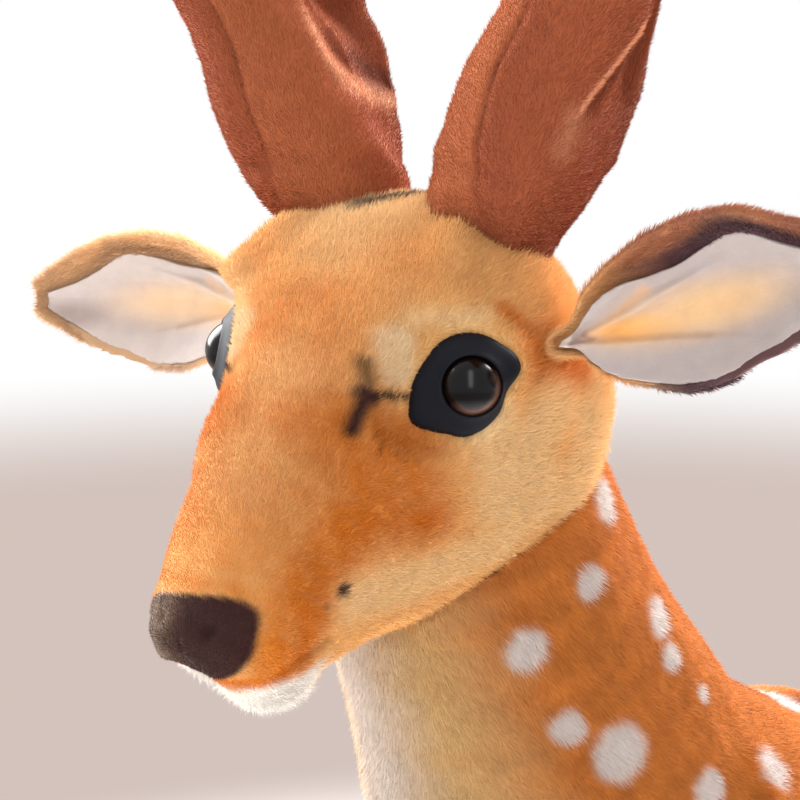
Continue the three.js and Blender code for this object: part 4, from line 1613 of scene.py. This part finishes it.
    def fold(self, lining: bpy.types.Object) -> None:
        """Folds the lining at its root, as it is gathered there.

        Args:
            lining: The lining.
        """
        own = self.mount.into(places(lining.data))
        along, across, share, _ = self.measured(places(lining.data))
        narrow = self.lined(along, across) / through(self.lining, np.clip(along, 5, 100))[:, 0]
        own[:, 2] *= narrow * self.taken_in(along, across)
        own[:, 1] += self.cup * self.bowl(along) * (np.minimum(share, 1) ** 2 - np.minimum(share * narrow, 1) ** 2)
        across = own[:, 2]
        fade = soft(along, 50, 26)
        middle = np.exp(-(((across - 0.6 - 0.24 * (along - 15)) / 2.1) ** 2))
        lower = soft(across + 1.4 + 0.23 * (along - 12), 0, 0.9)
        upper = soft(-across + 0.42 * (along - 12), -3.5, 1.2)
        lift = (2.6 * middle + 2.6 * lower + 2.0 * upper) * fade - 1.2 * soft(-along, -10, 6) * (1 - fade)
        own[:, 1] -= lift
        set_places(lining.data, self.mount.out(self.gathered(own, 0.35)))

    def taken_in(self, along: Points, across: Points) -> Points:
        """Works out how much narrower the ear is at a place than it was cut."""
        narrow = 0.95 - 0.13 * soft(across, -10, 5) * soft(-along, -56, 12)
        return narrow * (1 - 0.2 * soft(-across, 0, 6) * soft(-along, -80, 14) * (self.side > 0))

    def gathered(self, own: Points, share: float) -> Points:
        """Gathers the root and presses it back into the head.

        Args:
            own: Places in the ear's axes.
            share: The share by which the root gets narrower.

        Returns:
            The moved places.
        """
        root = soft(own[:, 0], 9, 8)
        moved = own.copy()
        moved[:, 1:] *= (1 - share * root)[:, None]
        moved[:, 1] += 3.0 * root
        moved[:, 0] -= 4 * soft(own[:, 0], 5, 7)
        return moved

    def roll(self, skin: bpy.types.Object) -> None:
        """Rolls the upper rim over the lining and gathers the root into the head.

        Args:
            skin: The plush's skin.
        """
        along, across, share, depth = self.measured(places(skin.data))
        edge = self.lined(along, across)
        over = soft(-share, -edge + 0.03, 0.06) * soft(-across, 0, 3) * soft(depth, 2.4, 1.2) * soft(-along, -12, 8)
        own = self.mount.into(places(skin.data))
        own[:, 1] -= 3.2 * over * soft(-edge, -0.7, 0.2)
        own[:, 2] *= self.taken_in(along, across)
        own = self.gathered(own, 0.7)
        own[:, 0] -= 5 * soft(own[:, 0], 3, 6)
        set_places(skin.data, self.mount.out(own))
        relaxed(skin, 3)

    def build(self, plush: bpy.types.Material, velour: bpy.types.Material) -> None:
        """Builds the plush and the lining.

        Args:
            plush: The plush's material.
            velour: The lining's material.
        """
        name = named(self.side)
        skin = sewn_skin(f"ear_{name}_skin", (f"ear_{name}_fur",), 1.2, 0.1, 4)
        self.roll(skin)
        along, across, share, depth = self.measured(places(skin.data))
        lining_room = (share < self.lined(along, across) - 0.04) & (depth < 2.6) & (along > 6) & (along < 101)
        length = 2.3 + 0.8 * soft(-share, -0.85, 0.12) - 0.5 * soft(across, -12, 8)
        edge = self.mount.heading(UP) * (np.sign(across) * soft(-share, -0.7, 0.2))[:, None]
        comb_skin(skin, ~lining_room & (along > -3), length, self.mount.heading(SIDEWAYS) + 1.1 * edge)
        body = f"ear_{name}"
        coat = Coat(self.fur_marks, plush, "head_plush", lambda piece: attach(piece, body))
        coat.cover(body, skin, self.pile, split(UP))
        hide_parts(f"ear_{name}_fur")
        lining = sewn_skin(f"ear_{name}_velour", (f"ear_{name}_lining",), 0.8, 0.25, 3)
        self.fold(lining)
        mark_piece(lining, self.lining_marks, False)
        write_attribute(lining.data, "tip", np.ones(len(lining.data.vertices)))
        finish_piece(lining, velour)
        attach(lining, body)
        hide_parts(f"ear_{name}_lining")


@dataclass(frozen=True)
class Antler:
    """A thick stuffed antler with a tine behind its beam and a seam down its front.

    Attributes:
        side: 1 on the left and -1 on the right.
        seam: The seam down the front, in the antler's own millimetres.
        slant: The direction across beam and tine in which the form is corrected.
        broad: Heights and the two ends that the form reaches along the slant.
        narrow: The same along the mirrored slant.
        outer: The beam's edge in front of the tine on the outer side: heights and millimetres along the slant.
        inner: Its edge on the inner side: millimetres along the mirrored slant and heights.
        spot: Its root, in shares of the head's length, depth and width.
        pile: The antler's pile.
    """

    side: int
    seam: tuple = (
        (7.5, -30, -4), (8.5, -28, 12), (10.5, -26, 24), (13.5, -26, 33), (17, -27, 43), (20.5, -27.5, 51),
        (29.5, -29, 66), (46, -29, 92), (60, -27, 125), (69, -20, 152),
    )
    slant: tuple = (0.766, 0.643, 0.0)
    broad: tuple = (
        (-24, -26.5, 11), (-16, -26, 16.2), (-6, -25, 22.3), (5.5, -23.4, 29.5), (21, -20.4, 37.6), (28, -18.6, 40.5),
        (41, -14.4, 44.8), (56, -8.4, 47.8), (67, -2.2, 49.6), (80, 3, 54), (95, 9, 60),
    )
    narrow: tuple = (
        (-24, -14, 19), (-16, -18, 19.6), (-6, -22.2, 20.4), (4, -28.5, 21), (18, -36.8, 21.7), (32, -42, 20.6),
        (45, -45.8, 18.4), (56, -50.6, 16.4), (69, -56.4, 9.8), (80, -60, 9.5), (95, -66, 8),
    )
    outer: tuple = ((32, 20.5), (38.8, 24.7), (44.7, 29.1), (50.4, 33.5), (56.8, 38.7), (62, 42.1), (75, 49), (95, 56))
    inner: tuple = ((-30, 110), (-20, 88), (-11.4, 70), (-0.5, 50), (8, 43), (20.3, 37), (34, 33))
    spot: tuple[float, float, float] = (-0.255, 0.378, 0.31)
    pile: Pile = Pile(spacing=0.6, width=0.36, lean=0.62, stray=0.3, wave=0.26)

    @property
    def mount(self) -> Mount:
        """The antler's mount."""
        return Mount(self.spot, np.eye(3), self.side)

    def drawn(self, own: Points, out: Points) -> Points:
        """Takes the antler in and lets it out to its widths and sets its tine back behind its beam.

        Args:
            own: Places in the antler's axes.
            out: The directions out of its surface there.

        Returns:
            The corrected places.
        """
        slant = np.array(self.slant)
        z = own[:, 2]
        levels = np.arange(-22, 118, 4.0)
        for heading, rows in ((slant, self.broad), (slant * (-1, 1, 1), self.narrow)) * 2:
            reach = own @ heading
            ends = np.array([np.percentile(reach[np.abs(z - level) < 2.5], (0, 100)) for level in levels])
            low, high = np.interp(z, levels, ends[:, 0]), np.interp(z, levels, ends[:, 1])
            goal = through(rows, np.clip(z, -24, 95)).T
            share = (reach - low) / (high - low)
            moved = (goal[0] + share * (goal[1] - goal[0]) - reach) * soft(z, 98, 14)
            own = own + moved[:, None] * heading
        aside = own @ slant
        away = np.array([-slant[1], slant[0], 0])
        own = own + (13.0 * soft(aside, -6, 12) * soft(z, 22, 22))[:, None] * away
        past = aside - through(self.outer, np.clip(z, 32, 95))[:, 0]
        step = 9.0 * soft(-past, 0, 1.2) * soft(past, 13, 10) * soft(-z, -34, 5) * soft(z, 100, 16)
        own = own + (step * soft(out @ away, -0.25, 0.3))[:, None] * away
        away = away * (-1, 1, 1)
        past = z - through(self.inner, np.clip(own @ (slant * (-1, 1, 1)), -30, 34))[:, 0]
        step = 8.0 * soft(-past, 0, 1.2) * soft(past, 24, 14) * soft(z, 100, 16)
        return own + (step * soft(out @ away, -0.25, 0.3))[:, None] * away

    def past_edges(self, own: Points) -> tuple[Points, Points, Points]:
        """Measures places from the beam's edges in front of the tine.

        Args:
            own: Places in the antler's axes.

        Returns:
            Their heights, and the millimetres that they are past the outer and the inner edge.
        """
        slant, z = np.array(self.slant), own[:, 2]
        outer = own @ slant - through(self.outer, np.clip(z, 32, 95))[:, 0]
        inner = z - through(self.inner, np.clip(own @ (slant * (-1, 1, 1)), -30, 34))[:, 0]
        return z, outer, inner

    def painted_edge_highlight(self, own: Points) -> Points:
        """Finds where a highlight is painted on the beam's edges in front of the tine, as the pile would catch the
        light there.

        Args:
            own: Places in the antler's axes.

        Returns:
            Shares from 0 to 1.
        """
        z, outer, inner = self.past_edges(own)
        flat = own @ np.column_stack([self.slant, (0, 0, 1)])
        low = 0.4 * soft(to_stroke(flat, ((20, 34), (17, 24))), 2, 5)
        outer = soft(np.abs(outer + 1.0), 0.9, 0.9) * soft(-z, -34, 6)
        outer = np.maximum(outer, low) * soft(own[:, 1], 6, 4)
        inner = 0.8 * soft(np.abs(inner + 3), 2.4, 3.2) * soft(own[:, 0], 8, 4) * soft(-own[:, 1], 10, 6)
        return np.maximum(outer, inner)

    def shadow(self, own: Points) -> Points:
        """Finds the shade just behind the beam's edges, as shares from 0 to 1."""
        z, outer, inner = self.past_edges(own)
        outer = soft(np.abs(outer - 2.5), 1.8, 1.8) * soft(-z, -36, 5) * soft(own[:, 1], 12, 6)
        inner = soft(np.abs(inner - 4), 3, 3) * soft(own[:, 0], 8, 4) * soft(-own[:, 1], 10, 6)
        return np.maximum(outer, inner)

    def behind(self, own: Points) -> Points:
        """Finds the tine's smooth flanks behind the beam's edges, as shares from 0 to 1."""
        z, outer, inner = self.past_edges(own)
        outer = soft(-outer, -2.5, 1) * soft(outer, 26, 6) * soft(-z, -26, 8) * soft(z, 100, 10)
        inner = soft(-inner, -2.5, 1) * soft(inner, 40, 10) * soft(z, 100, 10)
        return np.maximum(outer, inner)

    def seamed(self, points: Points) -> Points:
        """Measures places from the seams down the front and the back."""
        own = self.mount.into(points) * (1, 0.25, 1)
        front = to_stroke(own, [(x, 0.25 * y, z) for x, y, z in self.seam])
        behind = to_stroke(own * (1, -1, 1), [(x, 0.25 * (y + 8), z) for x, y, z in self.seam[3:]])
        return np.minimum(front, behind)

    def marks(self, points: Points) -> dict[DyeAndPaintedLight, Points]:
        """Works out the dark seam, the lit side painted beside it, the painted highlight on the beam's edges, the
        painted shade behind them and darker colour at the base and towards the back.

        Args:
            points: Places in the row frame.

        Returns:
            The share of each dye.
        """
        own = self.mount.into(points)
        seam = self.seamed(points)
        inner = own[:, 0] - through([(z, x) for x, _, z in self.seam], np.clip(own[:, 2], 0, 152))[:, 0]
        # Painted light: the front, on the head's middle side of the seam, is painted in the lighter rust as its lit
        # side.
        painted_light = soft(inner, -1.5, 2.5) * soft(own[:, 1], -6, 10)
        return {
            DyeAndPaintedLight.RUST: (0.48 if self.side > 0 else 0.35) * painted_light,
            # Painted highlight on the beam's edges.
            DyeAndPaintedLight.PALE: 0.8 * self.painted_edge_highlight(own),
            DyeAndPaintedLight.WHITE: np.zeros_like(seam),
            DyeAndPaintedLight.DARK: 0.5 * soft(seam, 0.5, 0.6) + 0.2 * soft(own[:, 2], 2, 10) + 0.3 * soft(-own[:, 1], -14, 8)
            + 0.4 * self.shadow(own),
        }

    def build(self, plush: bpy.types.Material) -> None:
        """Builds the antler.

        Args:
            plush: Its material.
        """
        name = f"antler_{named(self.side)}"
        skin = sewn_skin(f"{name}_skin", (name,), 1.5, 0.3, 16)
        out = ((outward(skin.data) @ HEAD.turn) * (self.side, 1, 1)) @ self.mount.axes
        set_places(skin.data, self.mount.out(self.drawn(self.mount.into(places(skin.data)), out)))
        relaxed(skin, 2)
        relaxed(skin, 60, self.behind(self.mount.into(places(skin.data))))
        stuffed(skin, 26, 0.4, 11)
        seam = self.seamed(places(skin.data))
        pinch(skin, seam, 1.4, 1.1)
        own = self.mount.into(places(skin.data))
        grow = (own[:, 2] > -16) * (1 - 0.75 * soft(seam, 0.6, 0.5))
        comb_skin(skin, grow, 1.7 - 0.5 * soft(seam, 1.5, 1.5), self.mount.heading(np.array([0.35, 0.1, 1.0])))
        coat = Coat(self.marks, plush, "antler_plush", lambda piece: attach(piece, name))
        coat.cover(name, skin, self.pile, split(UP))
        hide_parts(name)


@dataclass(frozen=True)
class Body:
    """Trunk, legs and neck in one skin, with the pile of the neck grown apart from that of the trunk.

    Attributes:
        lean: Degrees that the neck leans forward.
        bend_from: A place up the neck, in millimetres along it from its joint, 8 above where its pile is parted from
            the trunk's.
        bend_to: Where it has bent in full; not used.
        spots: White spots on the neck: place in the row frame and radius.
        back: The line of the withers, by place from front to back.
        neck_pile: Pile of the neck and chest.
        pile: Pile of the trunk and legs.
    """

    lean: float = 23.5
    bend_from: float = -25.0
    bend_to: float = 70.0
    spots: tuple = (
        (40, -60, 493, 8), (50, -73, 469.5, 6.2), (48.5, -95.5, 449, 7.5), (42, -37, 449.5, 7.5),
        (46, -34, 435, 5.6), (45, -19, 418.5, 3.6), (51, -81, 420, 6.2), (55, -62, 409, 10.2), (4, 58, 388, 9),
        (56, -23.5, 388, 7), (45, 10, 382, 9.5), (57, -66, 376, 7), (60, -34, 352, 8), (50, -92, 384, 5.5),
    )
    back: tuple = ((-10, 427), (10, 412), (30, 400), (50, 389.5), (75, 380), (105, 373), (130, 369.5), (165, 366))
    neck_pile: Pile = Pile(spacing=0.6, width=0.4, lean=0.62, stray=0.16)
    pile: Pile = Pile(spacing=1.0, width=0.66, lean=0.62)

    @property
    def up_neck(self) -> Points:
        """The direction up the neck."""
        lean = math.radians(self.lean)
        return np.array([0, -math.sin(lean), math.cos(lean)])

    def climb(self, points: Points) -> Points:
        """Measures how far up the neck places are, from its joint."""
        return (points - joint_place("neck_bend")) @ self.up_neck

    def marks(self, points: Points) -> dict[DyeAndPaintedLight, Points]:
        """Works out the pale throat and belly, the spots and the darker back.

        Args:
            points: Places in the row frame.

        Returns:
            The share of each dye.
        """
        middle = joint_place("neck_bend")
        x, y, z = (points - (middle[0], 0, 0)).T
        climb = self.climb(points)
        lean = math.radians(self.lean)
        forward = (points - middle) @ np.array([0, -math.cos(lean), -math.sin(lean)])
        angle = np.degrees(np.arctan2(np.abs(x), forward))
        neck = soft(-climb, 10, 30)
        blot = chance_field(points, 12.0, 9)
        throat = soft(angle + 4 * blot, 20, 16) * neck
        chest = soft(np.hypot(x / 34, (z - 318) / 46), 0.8, 0.35) * soft(y, -70, 20)
        belly = soft(z, 268, 14) * (z > 232) * (np.abs(y - 40) < 160)
        inner = soft(np.abs(x), 22, 7) * soft(z, 236, 18)
        white = np.max([0.8 * throat, 0.6 * chest, 0.85 * belly, 0.4 * inner], axis=0)
        tan = np.maximum(0.95 * soft(angle + 5 * blot, 52, 24) * neck, 0.35 * soft(z, 150, 60))
        near = points - (middle[0], 0, 0)
        near[:, 0] = np.abs(near[:, 0])
        spots = np.zeros(len(points))
        for *place, radius in (*self.spots, *self.trunk_spots()):
            wobble = 1.4 * chance_field(points, 7.0, int(radius * 8)) - 0.7
            spots = np.maximum(spots, soft(np.linalg.norm(near - place, axis=1) + wobble, radius, radius * 0.28))
        ridge = soft(np.abs(x), 13, 10) * soft(-z, -340, 14) * soft(-y, 30, 30)
        nape = soft(-angle, -150, 16) * neck
        rust = np.max([0.8 * ridge, 0.5 * nape, 0.42 * chance_field(points, 8.0, 9)], axis=0)
        feet = soft(z, 44, 16)
        return {
            DyeAndPaintedLight.RUST: rust,
            DyeAndPaintedLight.PALE: tan,
            DyeAndPaintedLight.WHITE: np.maximum(white, 0.92 * spots),
            DyeAndPaintedLight.DARK: 0.5 * feet + 0.25 * ridge * soft(np.abs(x), 5, 4),
        }

    def trunk_spots(self) -> list[tuple[float, float, float, float]]:
        """Scatters the rows of spots over flanks and haunches.

        Returns:
            The place and the radius of each spot, for the left side.
        """
        chance = np.random.default_rng(31)
        spots = []
        for row, (out, height) in enumerate(((22, 380), (44, 366), (60, 346), (68, 322))):
            for step in range(5 if height > 360 else 7):
                y = (84 if height > 360 else 30) + 27 * step + 13 * (row % 2) + chance.uniform(-5, 5)
                spots.append((out + chance.uniform(-3, 3), y, height + chance.uniform(-5, 5), chance.uniform(4.5, 8)))
        return spots

    def filled(self, points: Points) -> Points:
        """Fills the form behind the neck and lowers the back to the line of the withers.

        Args:
            points: Places of the skin.

        Returns:
            The moved places.
        """
        x, y, z = (points - (joint_place("neck_bend")[0] * 0.5, 0, 0)).T
        line = through(self.back, np.clip(y, -10, 165))[:, 0] - 0.011 * x**2
        moved = points.copy()
        fill = np.maximum(line - z, 0) * (z > 338) * soft(-y, 4, 10) * soft(y, 84, 14)
        lower = np.minimum(line - z, 0) * (z > 350) * soft(-y, -84, 16) * soft(y, 168, 30)
        moved[:, 2] += fill + np.maximum(lower, -9)
        return moved

    def build(self, plush: bpy.types.Material) -> None:
        """Builds trunk, neck and legs.

        Args:
            plush: Their material.
        """
        nodes = ("torso", "neck", *LEGS)
        skin = sewn_skin("body_skin", nodes, 2.6, 0.5, 7)
        stuffed(skin, 42, 0.8, 5)
        points = self.filled(places(skin.data))
        set_places(skin.data, points)
        relaxed(skin, 12, soft(np.linalg.norm((points - (0, 40, 390)) / (1.2, 1.6, 1), axis=1), 40, 16))
        points = places(skin.data)
        climb = self.climb(points)
        y, z = points[:, 1], points[:, 2]
        down = soft(z, 236, 30)[:, None]
        neck = soft(-climb, 20, 30)[:, None]
        flow = np.array([0, 0.8, -0.45]) * (1 - down) * (1 - neck)
        flow = flow + np.array([0, 0.1, -1.0]) * down + (np.array([0, 0.35, 0]) - self.up_neck) * neck * (1 - down)
        length = 3.2 - 0.8 * soft(z, 190, 60) + 0.6 * soft(y, -70, 24) * (1 - down[:, 0])
        grow = z > 31
        start = (joint_place("neck_bend") + self.up_neck * self.bend_from) * MM

        def bends(piece: bpy.types.Object) -> None:
            """Bakes a piece's place into its mesh."""
            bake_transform(piece)

        comb_skin(skin, grow, length, flow)
        low = skin.copy()
        low.data = skin.data.copy()
        bpy.context.scene.collection.objects.link(low)
        parting = self.bend_from - 8
        write_attribute(low.data, "grow", grow & (climb < parting))
        coat = Coat(self.marks, plush, "body_plush", lambda piece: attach(piece, "trunk"))
        coat.grow("body", low, self.pile, 21, split(BACKWARDS, 0.03))
        bpy.data.meshes.remove(low.data)
        comb_skin(skin, grow & (climb >= parting), length, flow)
        coat = Coat(self.marks, plush, "body_plush", bends)
        coat.cover("neck", skin, self.neck_pile, split(SIDEWAYS, float(start[0])))
        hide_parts(*nodes)


@dataclass(frozen=True)
class Trim:
    """The tail and the hooves."""

    tail_pile: Pile = Pile(spacing=0.7, width=0.5, lean=0.62)
    hoof_pile: Pile = Pile(spacing=0.9, width=0.6, lean=0.7)

    def tail_marks(self, points: Points) -> dict[DyeAndPaintedLight, Points]:
        """Works out the tail's pale underside.

        Args:
            points: Places in the row frame.

        Returns:
            The share of each dye.
        """
        own = points - joint_place("tail_lift")
        behind = own[:, 1] * 0.88 + own[:, 2] * 0.47
        return {
            DyeAndPaintedLight.RUST: 0.5 * soft(-behind, 0, 6),
            DyeAndPaintedLight.PALE: np.zeros_like(behind),
            DyeAndPaintedLight.WHITE: 0.9 * soft(behind, -2, 5),
            DyeAndPaintedLight.DARK: 0.35 * soft(-behind, -3, 3),
        }

    def hoof_marks(self, points: Points) -> dict[DyeAndPaintedLight, Points]:
        """Leaves the hooves without marks."""
        return {tint: np.zeros(len(points)) for tint in DyeAndPaintedLight}

    def build(self, plush: bpy.types.Material) -> None:
        """Builds the tail and the hooves.

        Args:
            plush: The body's material.
        """
        tail = sewn_skin("tail_skin", ("tail",), 1.4, 0.1, 4)
        own = places(tail.data) - joint_place("tail_lift")
        comb_skin(tail, own[:, 1] > -8, 4.5, np.array([0, 0.4, -1.0]))
        coat = Coat(self.tail_marks, plush, "body_plush", lambda piece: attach(piece, "tail"))
        coat.cover("tail", tail, self.tail_pile, split(UP))
        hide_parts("tail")
        names = [f"{leg}_hoof" for leg in LEGS]
        hooves = sewn_skin("hoof_skin", names, 1.6, 0.1, 4)
        comb_skin(hooves, places(hooves.data)[:, 2] > 1.5, 1.8, np.array([0, -0.2, -1.0]))
        coat = Coat(self.hoof_marks, PALETTE.hoof.make(), "hoof_plush", lambda piece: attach(piece, "trunk"))
        coat.cover("hoof", hooves, self.hoof_pile, [(UP, 0.002, FAR)])
        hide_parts(*names)


def finish_inside() -> None:
    """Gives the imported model's own inner pieces their finishes."""
    steel, nylon = PALETTE.steel.make(), PALETTE.nylon.make()
    for name, material in (
        ("neck_wire", steel), ("wire_frame", steel), ("eye_washer_left", nylon), ("eye_washer_right", nylon)
    ):
        mesh = frame["nodes"][name].data
        mesh.materials.clear()
        mesh.materials.append(material)


def main() -> None:
    """Builds everything in order, logging each skin and piece of pile."""
    PhotoCamera().build()
    Studio().build()
    eyes = (Eye(1), Eye(-1))
    Head().build(eyes)
    lid_finish = PALETTE.lid.make()
    for eye in eyes:
        eye.build(lid_finish)
    plush, velour, horn = PALETTE.ear.make(), PALETTE.velour.make(), PALETTE.antler.make()
    for ear in (Ear(1, 6, 19.5), Ear(-1, -10, -2, unlit_share=0.4)):
        ear.build(plush, velour)
    for side in (1, -1):
        Antler(side).build(horn)
    coat = PALETTE.body.make()
    Body().build(coat)
    Trim().build(coat)
    finish_inside()


def seen_from(azimuth: float, rise: float) -> Vector:
    """Finds the direction from the head towards a camera or a lamp.

    Args:
        azimuth: Degrees from the front of the deer's body towards its left.
        rise: Degrees upwards.

    Returns:
        The direction, of length one.
    """
    turn, rise = math.radians(azimuth), math.radians(rise)
    return Vector((math.sin(turn) * math.cos(rise), -math.cos(turn) * math.cos(rise), math.sin(rise)))


@dataclass(frozen=True)
class PhotoCamera:
    """The camera that took the photograph: near the deer's left cheek, a little above its eyes.

    Attributes:
        azimuth: Degrees from the front of the deer's body towards its left.
        rise: Degrees above the aim.
        distance: Millimetres from the aim.
        focal_pixels: Focal length in pixels of the photograph.
        sensor: Sensor width in millimetres.
    """

    azimuth: float = 60.0
    rise: float = 11.5
    distance: float = 600.0
    focal_pixels: float = 1800.0
    sensor: float = 36.0

    def build(self) -> bpy.types.Object:
        """Makes the camera and sets it as the scene's own.

        Returns:
            The camera object.
        """
        away = seen_from(self.azimuth, self.rise)
        data = bpy.data.cameras.new("photo_camera")
        data.sensor_width = self.sensor
        data.lens = self.focal_pixels / PHOTO_SIDE * self.sensor
        data.clip_start = 0.01
        camera = bpy.data.objects.new("photo_camera", data)
        camera.location = Vector(HEAD.place) * MM + away * self.distance * MM
        camera.rotation_euler = (-away).to_track_quat("-Z", "Y").to_euler()
        bpy.context.scene.collection.objects.link(camera)
        bpy.context.scene.camera = camera
        return camera


@dataclass(frozen=True)
class Lamp:
    """A soft box.

    Attributes:
        name: Its name.
        azimuth: Degrees from the front of the deer's body towards its left.
        rise: Degrees above the head.
        distance: Metres from the head.
        width: Width of the box in metres.
        height: Its height.
        power: Watts.
    """

    name: str
    azimuth: float
    rise: float
    distance: float
    width: float
    height: float
    power: float

    def build(self) -> None:
        """Sets the lamp up so that it faces the head."""
        away = seen_from(self.azimuth, self.rise)
        data = bpy.data.lights.new(self.name, "AREA")
        data.shape = "RECTANGLE"
        data.size, data.size_y = self.width, self.height
        data.energy = self.power
        lamp = bpy.data.objects.new(self.name, data)
        lamp.location = Vector(HEAD.place) * MM + away * self.distance
        lamp.rotation_euler = (-away).to_track_quat("-Z", "Y").to_euler()
        bpy.context.scene.collection.objects.link(lamp)


@dataclass(frozen=True)
class Studio:
    """A pale floor, a white surround and soft lamps: one in front and brighter ones behind.

    Attributes:
        lamps: The soft boxes.
        ambient: Strength of the surround's light.
        floor: Side of the floor in metres.
        haze: What the camera sees of the far floor.
        fades: Distances in metres: the floor fades into the haze, then the haze into white.
    """

    lamps: tuple[Lamp, ...] = (
        Lamp("front", 60, 38, 1.6, 0.4, 1.8, 9),
        Lamp("window_left", 290, 26, 1.3, 1.0, 1.0, 62),
        Lamp("window_right", 200, 27, 1.3, 1.0, 1.0, 80),
    )
    ambient: float = 0.68
    floor: float = 7.0
    haze: Colour = paint(211, 195, 188)
    fades: tuple[float, float, float, float] = (0.35, 0.9, 1.9, 2.9)

    def direct(self, board: Board) -> Wire:
        """Tells rays that show the surround from rays that light by it.

        Args:
            board: The tree.

        Returns:
            1 for camera, mirror and glass rays.
        """
        path = board.add("ShaderNodeLightPath").socket.node
        seen = Wire(board, path.outputs["Is Camera Ray"])
        for name in ("Is Glossy Ray", "Is Transmission Ray"):
            seen = seen + Wire(board, path.outputs[name])
        return board.add("ShaderNodeMath", {"operation": "MINIMUM"}, seen, 1.0)

    def surround(self) -> bpy.types.World:
        """Makes the surround: white to look at and softer as a light."""
        world = bpy.data.worlds.new("surround")
        world.use_nodes = True
        world.node_tree.nodes.clear()
        board = Board(world.node_tree)
        strength = self.direct(board) * (1 - self.ambient) + self.ambient
        light = board.add("ShaderNodeBackground", None, (1.0, 1.0, 1.0), strength)
        board.add("ShaderNodeOutputWorld", None, light)
        return world

    def pale_floor(self) -> bpy.types.Material:
        """Makes the floor, which keeps the shadow and fades into haze and white with distance."""
        material, board = blank_material("pale_floor")
        where = board.add("ShaderNodeTexCoord", out="Object")
        away = board.add("ShaderNodeVectorMath", {"operation": "LENGTH"}, where, out="Value")

        def fade(near: float, far: float) -> Wire:
            """Rises from 0 to 1 between two distances."""
            return board.add(
                "ShaderNodeMapRange", {"interpolation_type": "SMOOTHSTEP"}, away, near, far, 0.0, 1.0
            )

        colour = board.blend(fade(*self.fades[2:]), self.haze, (1.0, 1.0, 1.0))
        far = board.add("ShaderNodeEmission", None, colour)
        near = board.add("ShaderNodeBsdfPrincipled", None, paint(243, 240, 238), Roughness=0.8)
        share = fade(*self.fades[:2]) * self.direct(board)
        board.add("ShaderNodeOutputMaterial", None, board.add("ShaderNodeMixShader", None, share, near, far))
        return material

    def build(self) -> None:
        """Sets up floor, surround and lamps."""
        scene = bpy.context.scene
        scene.view_settings.view_transform = "Standard"
        scene.world = self.surround()
        for lamp in self.lamps:
            lamp.build()
        shape = bmesh.new()
        bmesh.ops.create_grid(shape, x_segments=1, y_segments=1, size=self.floor / 2)
        floor = from_bmesh("floor", shape)
        floor.data.materials.append(self.pale_floor())


if __name__ == "__main__":
    main()
